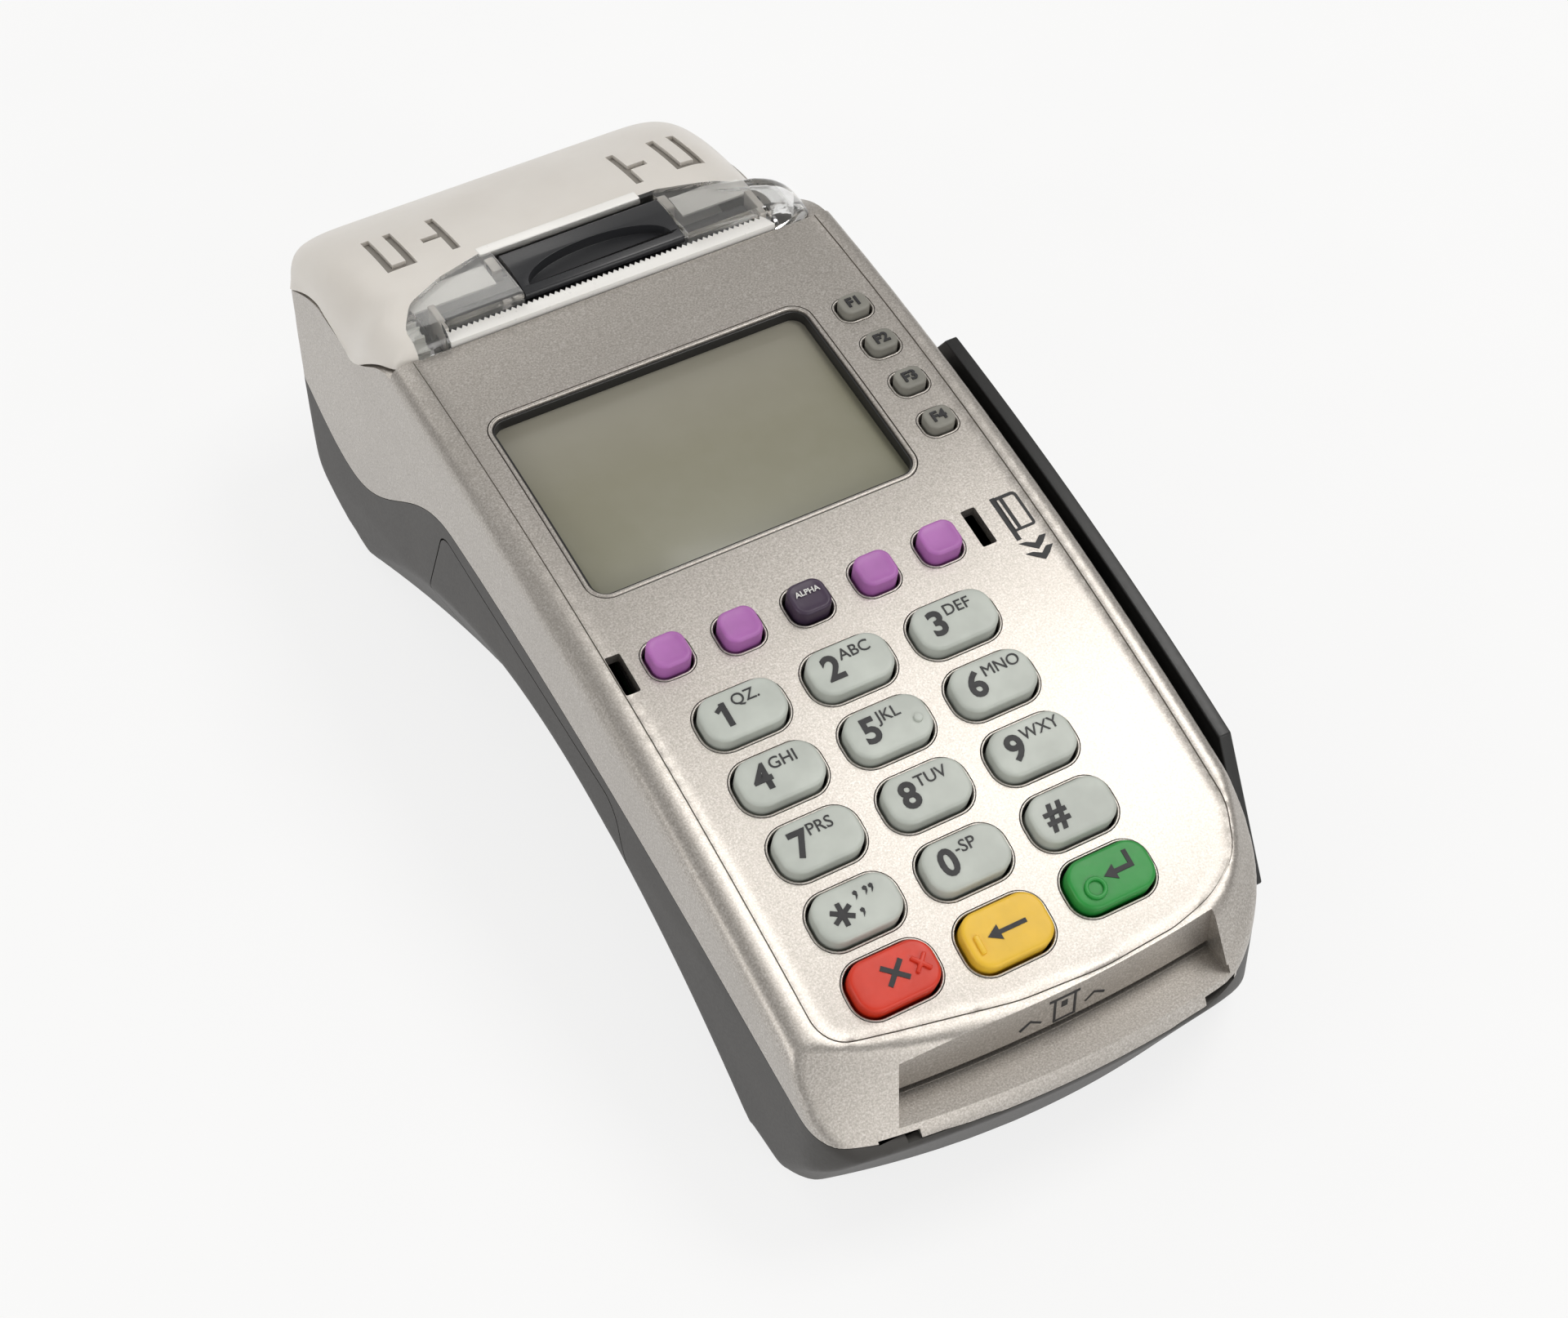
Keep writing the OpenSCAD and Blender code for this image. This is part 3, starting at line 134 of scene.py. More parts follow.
def cut(obj, tool, operation="DIFFERENCE", keep=False):
    modify(obj, "BOOLEAN", object=tool, operation=operation, solver="EXACT")
    if not keep:
        drop(tool)


def united(first, *others):
    for other in others:
        cut(first, other, "UNION")
    return first


def copyOf(obj, name):
    twin = obj.copy()
    twin.data = obj.data.copy()
    twin.name = name
    bpy.context.scene.collection.objects.link(twin)
    return twin


def shrunk(obj, name, depth, softening=0):  # a copy, this much smaller all round
    form = copyOf(obj, name)
    modify(form, "DISPLACE", strength=-depth * mm, mid_level=0, direction="NORMAL")
    voxels(form, 1.0, softening)
    return form


def joined(name, pieces):
    bpy.ops.object.select_all(action="DESELECT")
    for piece in pieces:
        piece.select_set(True)
    bpy.context.view_layer.objects.active = pieces[0]
    bpy.ops.object.join()
    pieces[0].name = name
    return pieces[0]


def settle(obj):  # place goes into the mesh
    only(obj)
    bpy.ops.object.transform_apply(location=True, rotation=True, scale=True)
    return obj


def recalculated(obj, merge=1e-6):
    edited(obj, (bpy.ops.mesh.remove_doubles, {"threshold": merge}), outward)


# numbers and outlines
def between(a, b, t):
    return a + (b - a) * t


def shares(count):
    return [k / count for k in range(count + 1)]


def about(middle, half):
    return middle - half, middle + half


def ease(t):
    return (1 - math.cos(math.pi * min(max(t, 0), 1))) / 2


def roundCorners(points, radii, steps=8):
    out = []
    count = len(points)
    for i, (point, radius) in enumerate(zip(points, radii)):
        corner = Vector(point)
        if radius <= 0:
            out.append(tuple(corner))
            continue
        u = (Vector(points[i - 1]) - corner).normalized()
        v = (Vector(points[(i + 1) % count]) - corner).normalized()
        half = math.acos(max(-1, min(1, u.dot(v)))) / 2
        centre = corner + (u + v).normalized() * radius / math.sin(half)
        p = corner + u * radius / math.tan(half) - centre
        q = corner + v * radius / math.tan(half) - centre
        start = math.atan2(p.y, p.x)
        turn = (math.atan2(q.y, q.x) - start + 3 * math.pi) % (2 * math.pi) - math.pi
        for k in range(steps + 1):
            angle = start + turn * k / steps
            out.append((centre.x + radius * math.cos(angle), centre.y + radius * math.sin(angle)))
    return out


def rect(x, y):
    return [(x[0], y[0]), (x[1], y[0]), (x[1], y[1]), (x[0], y[1])]


def roundedRect(w, l, r, steps=8):
    return roundCorners(rect((-w / 2, w / 2), (-l / 2, l / 2)), [r] * 4, steps)


def grown(size, by, steps=8):
    w, l, r = size
    return roundedRect(w + 2 * by, l + 2 * by, r + by, steps)


def circle(x, y, r, sides):
    angles = [2 * math.pi * k / sides for k in range(sides)]
    return [(x + r * math.cos(angle), y + r * math.sin(angle)) for angle in angles]


# a disc drawn to the outline, then extruded to a plate
def plate(name, outline, plane, start, end):
    order = {"side": (2, 0, 1), "plan": (0, 1, 2), "front": (0, 2, 1)}[plane]
    obj = drawn([[(a, b, start)[k] for k in order] for a, b in outline], fill_type="NGON")
    obj.name = name
    edited(obj, extrusion(Vector([(0, 0, end - start)[k] for k in order]) * mm), outward)
    return obj


def block(name, x, y, z):
    return plate(name, rect(x, y), "plan", *z)


def rod(name, x, at, r, sides=32):
    return plate(name, circle(*at, r, sides), "side", *x)


# a grid drawn to a surface, then extruded to a flat end
def fieldSolid(cells, surface, axis, level):
    solid = fresh(bpy.ops.mesh.primitive_grid_add, x_subdivisions=cells[0], y_subdivisions=cells[1], size=2)
    for vertex in solid.data.vertices:
        vertex.co = Vector(surface(vertex.co.x, (vertex.co.y + 1) / 2)) * mm
    move = Vector((0, 0, 0))
    move[axis] = -0.03
    edited(solid, extrusion(move))
    for vertex in solid.data.vertices:
        if vertex.select:
            vertex.co[axis] = level * mm
    recalculated(solid)
    return solid


# the curved face: x across, s along it towards the user, lift above it
face = {"radius": 450, "peakY": 65, "peakZ": 60.5, "keyY": -48}
faceAxisZ = face["peakZ"] - face["radius"]
faceAxis = (0, face["peakY"] * mm, faceAxisZ * mm)
keyAngle = math.asin((face["keyY"] - face["peakY"]) / face["radius"])


def faceZ(y):
    return faceAxisZ + math.sqrt(face["radius"] ** 2 - (y - face["peakY"]) ** 2)


def onFace(obj, x, s, lift=0):
    angle = keyAngle - s / face["radius"]
    reach = face["radius"] + lift
    obj.location = Vector((x, face["peakY"] + reach * math.sin(angle), faceAxisZ + reach * math.cos(angle))) * mm
    obj.rotation_euler = (-angle, 0, 0)
    return settle(obj)


# finishes
def finish(name, colour, metallic=0.0, roughness=0.5, extra=()):
    material = bpy.data.materials.new(name)
    material.use_nodes = True
    tree = material.node_tree
    shader = tree.nodes["Principled BSDF"]
    for key, value in (("Base Color", (*colour, 1)), ("Metallic", metallic), ("Roughness", roughness), *extra):
        shader.inputs[key].default_value = value
    return material, tree, shader


def node(tree, kind, **inputs):
    made = tree.nodes.new("ShaderNode" + kind)
    for key, value in inputs.items():
        if key in made.inputs:
            made.inputs[key].default_value = value
        else:
            setattr(made, key, value)
    return made


def noise(tree, scale, detail=2.0, rough=0.5):
    place = node(tree, "TexCoord")
    made = node(tree, "TexNoise", Scale=scale, Detail=detail, Roughness=rough)
    tree.links.new(place.outputs["Object"], made.inputs["Vector"])
    return made.outputs["Fac"]


def ramp(tree, value, stops):
    made = node(tree, "ValToRGB")
    while len(made.color_ramp.elements) < len(stops):
        made.color_ramp.elements.new(0.5)
    for element, (at, colour) in zip(made.color_ramp.elements, stops):
        element.position = at
        element.color = (*colour, 1)
    tree.links.new(value, made.inputs["Fac"])
    return made.outputs["Color"]


def blendColour(tree, factor, one, two):
    made = node(tree, "Mix", data_type="RGBA")
    for value, socket in ((factor, made.inputs[0]), (one, made.inputs[6]), (two, made.inputs[7])):
        if hasattr(value, "is_linked"):
            tree.links.new(value, socket)
        else:
            socket.default_value = value
    return made.outputs[2]


def grain(tree, shader, height, strength, depth):
    made = node(tree, "Bump", Strength=strength, Distance=depth * mm)
    tree.links.new(height, made.inputs["Height"])
    tree.links.new(made.outputs["Normal"], shader.inputs["Normal"])


def mapped(tree, value, low, high, **given):
    made = node(tree, "MapRange", **{"To Min": low, "To Max": high, **given})
    tree.links.new(value, made.inputs["Value"])
    return made.outputs["Result"]


def skin(tree, shader, height, roughness, bump=None):  # roughness and bump from one pattern
    tree.links.new(mapped(tree, height, *roughness), shader.inputs["Roughness"])
    if bump:
        grain(tree, shader, height, *bump)


silver = {"light": (0.50, 0.468, 0.432), "dark": (0.37, 0.345, 0.315), "bright": (0.63, 0.605, 0.575),
          "flakeScale": 3300, "roughness": (0.32, 0.46), "cloudScale": 46, "cloud": 0.22}


def silverPaint(name, flake=0.22):
    material, tree, shader = finish(name, silver["light"], 0.82, 0.38)
    speck = noise(tree, silver["flakeScale"], 2.5, 0.65)
    colour = ramp(tree, speck, [(0.32, silver["dark"]), (0.52, silver["light"]), (0.68, silver["bright"])])
    cloud = ramp(tree, noise(tree, silver["cloudScale"], 3), [(0.35, (0, 0, 0)), (0.75, [silver["cloud"]] * 3)])
    tree.links.new(blendColour(tree, cloud, colour, (*silver["dark"], 1)), shader.inputs["Base Color"])
    skin(tree, shader, speck, silver["roughness"], (flake, 0.05))
    return material


def scaled(colour, share):
    return tuple(min(1, c * share) for c in colour)


def mouldedPlastic(name, colour, roughness=0.5, grainScale=1500, strength=0.12, mottle=0.12):
    material, tree, shader = finish(name, colour, 0, roughness)
    tone = ramp(tree, noise(tree, 90, 3), [(0.3, scaled(colour, 1 - mottle)), (0.7, scaled(colour, 1 + mottle))])
    tree.links.new(tone, shader.inputs["Base Color"])
    span = (max(0.05, roughness - 0.07), min(1, roughness + 0.07))
    skin(tree, shader, noise(tree, grainScale, 3), span, (strength, 0.05))
    return material


def brushedMetal(name, colour, roughness=0.3):
    material, tree, shader = finish(name, colour, 1, roughness)
    skin(tree, shader, noise(tree, 900, 4), (roughness - 0.08, roughness + 0.1), (0.05, 0.03))
    return material


paints = {
    "silver": silverPaint("silverPaint"),
    "rim": silverPaint("silverRim", 0.12),
    "lower": mouldedPlastic("darkWarmPlastic", (0.042, 0.039, 0.036), 0.52, 1900, 0.2),
    "black": mouldedPlastic("blackSatin", (0.012, 0.012, 0.012), 0.38, 1600, 0.08),
    "latch": mouldedPlastic("latchBlack", (0.022, 0.023, 0.026), 0.33, 1800, 0.06),
    "rubber": mouldedPlastic("blackRubber", (0.018, 0.018, 0.018), 0.75, 1200, 0.2),
    "silicone": mouldedPlastic("greySilicone", (0.05, 0.05, 0.05), 0.7, 800, 0.1),
    "board": mouldedPlastic("solderMask", (0.02, 0.10, 0.04), 0.4, 500, 0.05),
    "acetal": mouldedPlastic("whiteAcetal", (0.75, 0.75, 0.72), 0.45, 1500, 0.05, 0.04),
    "paper": mouldedPlastic("thermalPaper", (0.86, 0.86, 0.84), 0.6, 900, 0.05, 0.03),
    "ceramic": mouldedPlastic("headCeramic", (0.05, 0.055, 0.05), 0.25, 700, 0.03),
    "lcd": mouldedPlastic("lcdBack", (0.22, 0.22, 0.17), 0.4, 700, 0.04),
    "ink": mouldedPlastic("darkInk", (0.016, 0.016, 0.018), 0.5, 900, 0.03),
    "whiteInk": mouldedPlastic("whiteInk", (0.75, 0.75, 0.73), 0.5, 900, 0.03, 0.03),
    "slot": mouldedPlastic("slotShadow", (0.25, 0.23, 0.205), 0.5, 1200, 0.05),
    "strip": mouldedPlastic("paleStrip", (0.97, 0.96, 0.93), 0.3, 1200, 0.04, 0.03),
    "steel": brushedMetal("plainSteel", (0.58, 0.58, 0.60)),
    "headSteel": brushedMetal("headSteel", (0.20, 0.20, 0.21), 0.4),
    "brass": brushedMetal("goldBrass", (0.72, 0.54, 0.22)),
}
paints["roller"], tree, shader = finish("rollerRubber", (0.030, 0.031, 0.034), 0, 0.42)
skin(tree, shader, noise(tree, 1300, 3), (0.34, 0.5), (0.08, 0.04))
print("finishes ready,", len(paints))

# floor and light
studio = {"floorSize": 8, "floorZ": -0.0001, "floor": (0.84, 0.84, 0.83), "floorGlow": 0.8,
          "floorCloud": ((0.83, 0.83, 0.82), (0.86, 0.86, 0.85)),
          "sky": 0.42, "skySeen": 1.0, "skyColour": (1, 0.985, 0.965, 1), "lampColour": (1, 0.985, 0.96)}
floor = fresh(bpy.ops.mesh.primitive_plane_add, size=studio["floorSize"], location=(0, 0, studio["floorZ"]))
settle(floor)
floor.name = "paleFloor"
floorPaint, tree, shader = finish("palePaper", studio["floor"], 0, 0.9)
cloud = ramp(tree, noise(tree, 30), list(zip((0.3, 0.7), studio["floorCloud"])))
tree.links.new(cloud, shader.inputs["Base Color"])
rays = node(tree, "LightPath").outputs
seen = rays["Is Camera Ray"]
for ray in ("Is Glossy Ray", "Is Transmission Ray"):
    either = node(tree, "Math", operation="MAXIMUM")
    tree.links.new(seen, either.inputs[0])
    tree.links.new(rays[ray], either.inputs[1])
    seen = either.outputs[0]
share = node(tree, "Math", operation="MULTIPLY")
share.inputs[1].default_value = studio["floorGlow"]
tree.links.new(seen, share.inputs[0])
white = node(tree, "Emission", Strength=1.0)
mixed = node(tree, "MixShader")
for source, socket in zip((share, shader, white), mixed.inputs):
    tree.links.new(source.outputs[0], socket)
tree.links.new(mixed.outputs[0], tree.nodes["Material Output"].inputs["Surface"])
floor.data.materials.append(floorPaint)

world = bpy.data.worlds.new("studioSky")
bpy.context.scene.world = world
world.use_nodes = True
tree = world.node_tree
sky = tree.nodes["Background"]
sky.inputs["Color"].default_value = studio["skyColour"]
seen = node(tree, "LightPath").outputs["Is Camera Ray"]
tree.links.new(mapped(tree, seen, studio["sky"], studio["skySeen"]), sky.inputs["Strength"])

# lamps: name, place, aim, size, power
lamps = [
    ("overheadBox", (0.46, -0.06, 0.97), (0.02, -0.06, 0.04), (0.50, 0.36), 3.6),
    ("leftFill", (-0.95, -0.15, 0.42), (0.0, 0.0, 0.03), (0.6, 0.5), 2.2),
    ("frontFill", (0.25, -1.0, 0.40), (0.0, -0.05, 0.03), (0.7, 0.4), 2.6),
    ("rearFill", (-0.1, 1.0, 0.7), (0.0, 0.05, 0.05), (0.9, 0.4), 2.0),
]
for name, place, aim, size, power in lamps:
    light = bpy.data.lights.new(name, "AREA")
    light.shape = "RECTANGLE"
    light.size, light.size_y = size
    light.energy = power
    light.color = studio["lampColour"]
    holder = bpy.data.objects.new(name, light)
    bpy.context.scene.collection.objects.link(holder)
    holder.location = place
    holder.rotation_euler = (Vector(aim) - Vector(place)).to_track_quat("-Z", "Y").to_euler()
print("studio lit")


def shown(obj, name, body, slot, paint, replaced=(), angle=35):
    obj.name = name
    obj.data.name = name
    obj.data.materials.clear()
    obj.data.materials.append(paint)
    only(obj)
    bpy.ops.object.shade_smooth_by_angle(angle=math.radians(angle))
    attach(obj, body)
    if replaced:
        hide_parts(*replaced)


# the soft outer form of both housings
body = {"nose": -101.6, "rear": 101.95, "left": 42.0, "right": 41.15, "lean": 0.064, "edge": (3, 2),
        "noseRadius": 200, "noseHalf": (24, 15), "frontCorner": 9.5, "rightCorner": 25, "rearCorner": 16,
        "belly": 30, "foot": 2, "waist": 11.2, "waistRadius": 225, "waistTop": 30, "waistFoot": 1, "waistY": -6,
        "spread": 0.3, "flare": 3.6, "sink": 75, "sweep": (8, -36), "wall": 2.2, "voxel": 0.7, "softening": 8}
recess = {"x": -0.5, "width": 54, "flare": 13, "ahead": -115, "back": -93.5, "bowRadius": 258, "ledge": 23.3,
          "mouth": (0.05, 1.4), "mouthHalf": 27.3, "mouthY": (-99, -88)}
beyond = (-80, 80)  # from one side of the body to the other, with room to spare


def planOutline():
    p = body
    left, right = (math.asin(half / p["noseRadius"]) for half in p["noseHalf"])
    arc = []
    for t in shares(16):
        angle = between(-left, right, t)
        arc.append((p["noseRadius"] * math.sin(angle), p["nose"] + p["noseRadius"] * (1 - math.cos(angle))))
    (startX, startY), (endX, endY) = arc[0], arc[-1]
    leftX = -p["left"] - p["spread"]
    points = [(leftX, startY + (startX - leftX) * math.tan(left)), *arc,
              (p["right"], endY + (p["right"] - endX) * math.tan(right)),
              (p["right"], p["rear"]), (-p["left"] - p["flare"], p["rear"])]
    radii = [p["frontCorner"]] + [0] * len(arc) + [p["rightCorner"], p["rearCorner"], p["rearCorner"]]
    return roundCorners(points, radii, 14)


# the nose wall: from its foremost edge it leans back to the face and to the sole, more so towards the corners
nose = {"edge": (-101.6, 205, 20.5), "face": (-94.2, 280, 33.5), "crown": 6, "right": (5.6, 27.2, 3.75), "most": 14,
        "sole": (-93.3, 127, 2), "soleCorner": (38.5, 0.28), "cells": (120, 60), "half": 55, "z": (-4, 62),
        "ahead": -150}


def noseY(x, z):
    p = nose
    y, radius, edgeZ = p["edge"]
    edge = y + x * x / (2 * radius)
    if z < edgeZ:
        y, radius, soleZ = p["sole"]
        start, growth = p["soleCorner"]
        sole = y + x * x / (2 * radius) + growth * max(0, abs(x) - start) ** 2
        return between(edge, sole, (edgeZ - z) / (edgeZ - soleZ))
    y, sag, topZ = p["face"]
    away = x - p["crown"]
    depth, run, power = p["right"]
    top = y + (away * away / sag if away < 0 else min(p["most"], depth * (away / run) ** power))
    return between(edge, top, (z - edgeZ) / (topZ - edgeZ))


def noseWall(across, height):
    x = across * nose["half"]
    z = between(*nose["z"], height)
    return x, noseY(x, z), z


# the panel of the face
panel = {"left": -36.7, "right": 37.8, "dip": 0.45, "width": 0.22, "depth": 0.12, "rear": 70,
         "front": [(-25, -88.9), (-7, -92.2), (7, -93.0), (20, -92.2), (28, -90.4)]}


def panelOutline(inset):
    left, right = panel["left"] + inset, panel["right"] - inset
    front = [(left, -86.6), *panel["front"], (right - 3.2, -86.2)]
    points = [(left - 1.2, panel["rear"]), *((x, y + inset) for x, y in front), (right, -79), (right, panel["rear"])]
    return roundCorners(points, [0, 5.5 - inset, 40, 40, 40, 20, 20, 10 - inset, 10, 0])


def abovePanel(name, depth):  # what lies over the face less this depth, inside the panel
    tool = plate(name, panelOutline(0), "plan", 20, 80)
    drum = fresh(bpy.ops.mesh.primitive_cylinder_add, vertices=900, radius=(face["radius"] - depth) * mm, depth=0.3,
                 rotation=(0, math.pi / 2, 0), location=faceAxis)
    cut(tool, settle(drum))
    return tool


def recessY(x):
    return recess["back"] + x * x / (2 * recess["bowRadius"])


def bodyForm():
    p = body
    side = rect((p["nose"] - 0.5, p["rear"]), (p["foot"], 100))
    form = plate("bodyForm", roundCorners(side, [0, p["belly"], 0, 0], 12), "side", *beyond)
    cut(form, plate("planPrism", planOutline(), "plan", -10, 110), "INTERSECT")
    cut(form, fieldSolid(nose["cells"], noseWall, 1, nose["ahead"]))
    # the long sweep of the face, spun round the face's far axis
    top = face["radius"] + panel["dip"]
    low = top - p["sink"]
    section = [(-p["left"], top), (-p["left"] - p["lean"] * p["sink"], low), (p["right"], low), (p["right"], top)]
    section = roundCorners(section, [p["edge"][0], 0, 0, p["edge"][1]], 10)
    start, turn = (math.radians(angle) for angle in p["sweep"])
    sweep = drawn([(x, face["peakY"] + r * math.sin(start), faceAxisZ + r * math.cos(start)) for x, r in section],
                  fill_type="NGON")
    edited(sweep, (bpy.ops.mesh.spin, {"steps": 90, "angle": turn, "center": faceAxis, "axis": (1, 0, 0)}))
    recalculated(sweep)
    cut(form, sweep, "INTERSECT")
    # the panel lies a little lower than the rim round it
    cut(form, abovePanel("panelDip", 0))
    # cones that draw the flanks in at the waist
    base = p["waistRadius"] - p["waist"]
    tall = p["waistTop"] - p["waistFoot"]
    foot = base + p["waist"] / (p["waistTop"] - p["foot"]) * tall
    leftX = -p["left"] - p["lean"] * (faceZ(p["waistY"]) - p["waistTop"])
    for x in (leftX - base, p["right"] + base):
        place = Vector((x, p["waistY"], (p["waistFoot"] + p["waistTop"]) / 2)) * mm
        cut(form, settle(fresh(bpy.ops.mesh.primitive_cone_add, vertices=360, radius1=foot * mm, radius2=base * mm,
                               depth=tall * mm, location=place)))
    voxels(form, p["voxel"], p["softening"])
    # card recess in the nose, its back wall bowed like the nose
    half = recess["width"] / 2
    outline = [(-half - recess["flare"], recess["ahead"]), (half, recess["ahead"])]
    outline += [(x, recessY(x)) for x in (between(half, -half, t) for t in shares(12))]
    cut(form, plate("recessCut", [(x + recess["x"], y) for x, y in outline], "plan", recess["ledge"], 80))
    return form


outer = bodyForm()
inner = shrunk(outer, "innerForm", body["wall"])
print("body form,", len(outer.data.polygons), "faces")

# seam between the silver and the dark housing, seen from the side
seam = {"noseY": -102, "noseZ": 20.2, "cornerZ": 23.5, "cornerRun": 8, "crestY": 26, "crestZ": 42.6, "bend": 1.7,
        "dipY": 71, "dipZ": 20.6, "tailY": 108, "rearRise": 9.5, "gap": 0.15, "far": 150, "fall": 6, "over": 120,
        "recessWall": 2, "recessY": (-104, -90.5), "recessZ": (21.3, 100)}


def aboveSeam(lift, grow):
    p = seam
    startY, tailZ = p["noseY"] + p["cornerRun"], p["dipZ"] + p["rearRise"]
    line = [(-p["far"], p["noseZ"] - p["fall"]), (p["noseY"], p["noseZ"])]
    for t in shares(32):
        rise = 1 - (1 - t) ** p["bend"]
        line.append((between(startY, p["crestY"], t), between(p["cornerZ"], p["crestZ"], rise)))
    for t in shares(32)[1:]:
        line.append((between(p["crestY"], p["dipY"], t), between(p["crestZ"], p["dipZ"], ease(t))))
    for t in shares(16)[1:]:
        line.append((between(p["dipY"], p["tailY"], t), between(p["dipZ"], tailZ, ease(t))))
    line = [(y, z + lift) for y, z in line + [(p["far"], tailZ)]]
    tool = plate("seamTool", line + [(p["far"], p["over"]), (-p["far"], p["over"])], "side", -70, 70)
    (front, back), (low, high) = p["recessY"], p["recessZ"]
    room = about(recess["x"], recess["width"] / 2 + p["recessWall"] + grow)
    return united(tool, block("recessBlock", room, (front, back + grow), (low - grow, high)))


# edge between the cover and the housing, lower on the right
rim = {"frontY": 48.8, "frontZ": 58.6, "left": (50.2, 67), "right": (45.2, 79), "tailY": 80, "rearY": 101,
       "rearZ": 39.4, "bend": 1.5, "far": 107, "over": 120}


def coverZone(gap):
    p = rim
    halves = []
    for (lowZ, lowY), x in ((p["left"], (-70, 0)), (p["right"], (0, 70))):
        line = [(between(p["frontY"], lowY, t), between(p["frontZ"], lowZ, ease(t))) for t in shares(24)]
        line += [(between(p["tailY"], p["rearY"], t), between(lowZ, p["rearZ"], t ** p["bend"])) for t in shares(24)]
        line += [(p["far"], p["rearZ"]), (p["far"], p["over"]), (p["frontY"], p["over"])]
        halves.append(plate("coverZone", [(y + gap, z + gap) for y, z in line], "side", *x))
    return united(*halves)


hinge = {"at": (100.3, 40.0), "pin": 0.8, "knuckle": 1.6, "swing": 2.15,
         "ears": ((-32, -28), (-7, 7), (28, 32)), "knuckles": ((-27.6, -7.4), (7.4, 27.6))}

# keys: node, x, s along the face, width, length, corner radius, rise
pad = {"x": -4, "pitchX": 18.6, "pitchY": 11.9, "colourStep": 11.5, "size": (13.8, 8.3, 3.3, 2.2),
       "clear": (0.9, 0.8), "soft": (6.4, 6, 2, 2.6), "softPitch": 12, "softS": -25, "softSag": 0.8,
       "function": (5, 4.3, 1.5, 1.6), "functionX": 32.4, "functionS": -75, "functionPitch": 9.3,
       "gap": 0.5, "rim": 0.34, "line": 0.12}
keys = []
numberRows = ("key_1 key_2 key_3", "key_4 key_5 key_6", "key_7 key_8 key_9", "key_star key_0 key_hash")
for row, names in enumerate(numberRows):
    for column, name in enumerate(names.split(), -1):
        keys.append((name, pad["x"] + column * pad["pitchX"], (row - 1) * pad["pitchY"], *pad["size"]))
colourS = 2 * pad["pitchY"] + pad["colourStep"]
w, l, r, rise = pad["size"]
for column, name in enumerate(("key_cancel", "key_clear", "key_enter"), -1):
    shift, longer = pad["clear"] if name == "key_clear" else (0, 0)
    keys.append((name, pad["x"] + column * pad["pitchX"], colourS + shift, w, l + longer, r, rise))
for k in range(5):
    s = pad["softS"] - pad["softSag"] * ((k - 2) / 2) ** 2
    keys.append(("soft_key_%d" % (k + 1), pad["x"] + (k - 2) * pad["softPitch"], s, *pad["soft"]))
for k in range(4):
    s = pad["functionS"] + k * pad["functionPitch"]
    keys.append(("function_key_%d" % (k + 1), pad["functionX"], s, *pad["function"]))
display = {"x": -4, "s": -60, "size": (57.8, 39.8, 3), "rim": 0.7, "line": 0.16, "wall": 0.45, "corner": 0.6,
           "play": 0.04, "lap": 0.1, "rimZ": (-2, 0.12), "frameZ": (-5.1, -0.35), "glassZ": (-5, -2.7)}
shieldSlots = {"u": 31.6, "s": -26.1, "size": (2.6, 7.4, 0.3)}
swipeWindow = {"x": 41.2, "s": -16, "across": (-3.2, 1), "along": (-5.3, 5.3), "depth": (-14.3, -3.7)}


def headWindow():  # room for the swipe head, in both housings
    p = swipeWindow
    return onFace(plate("hole", rect(p["across"], p["along"]), "plan", *p["depth"]), p["x"], p["s"])


# silver upper housing
upper = copyOf(outer, "upperHousing")
cut(upper, aboveSeam(seam["gap"] / 2, 0), "INTERSECT")
cut(upper, coverZone(0))
hingeY, hingeZ = hinge["at"]
swingZ = hingeZ - hinge["swing"]
cut(upper, block("hingeRoom", beyond, (hingeY, 110), (swingZ, 120)))
cut(upper, rod("swingRoom", beyond, hinge["at"], hinge["swing"]))
cut(upper, inner, keep=True)
grow = pad["gap"] + pad["rim"] + pad["line"]
openings = [(x, s, grown((w, l, r), grow)) for name, x, s, w, l, r, rise in keys]
openings.append((display["x"], display["s"], grown(display["size"], display["rim"] + display["line"])))
for side in (-1, 1):
    openings.append((pad["x"] + side * shieldSlots["u"], shieldSlots["s"], roundedRect(*shieldSlots["size"], 3)))
holes = [onFace(plate("hole", outline, "plan", -7, 3), x, s) for x, s, outline in openings]
mouthZ = [recess["ledge"] + z for z in recess["mouth"]]
holes.append(block("hole", about(recess["x"], recess["mouthHalf"]), recess["mouthY"], mouthZ))
cut(upper, joined("housingHoles", holes + [headWindow()]))
# notches in the seam below the nose corners, y and z in each housing
notches = {"at": (-30.7, 24.6), "half": 3.2, "upper": ((-104, -94.5), (19, 22.5)), "lower": ((-97.6, -94), (19.6, 24))}


def notchTool(y, z):
    return joined("seamNotches", [block("notch", about(x, notches["half"]), y, z) for x in notches["at"]])


cut(upper, notchTool(*notches["upper"]))
# the fine line round the face panel
groove = abovePanel("panelGroove", panel["depth"])
cut(groove, plate("panelInside", panelOutline(panel["width"]), "plan", 10, 90))
cut(upper, groove)
shown(upper, "upperHousing", "base", "silver_plastic", paints["silver"], ["upper_housing"], 30)
ears = []
for x in hinge["ears"]:
    ears.append(rod("ear", x, hinge["at"], hinge["knuckle"]))
    ears.append(block("ear", x, (hingeY - 1.5, hingeY + 1.4), (swingZ - 4, hingeZ)))
earPiece = joined("hingeEars", ears)
softEdges(earPiece, 0.25, 2, 30)
shown(earPiece, "hingeEars", "base", "silver_plastic", paints["silver"])
print("upper housing,", len(upper.data.polygons), "faces")

# dark lower housing, its door and the walls of the cable bay
door = {"front": -37, "rear": 37, "frontRise": 35, "rearRise": 40, "bayZ": 24, "shoulder": 2, "foot": (2, -1),
        "taper": (5, 7), "corners": [0, 0, 0, 4, 6, 0], "gap": 0.25, "share": 0.2}


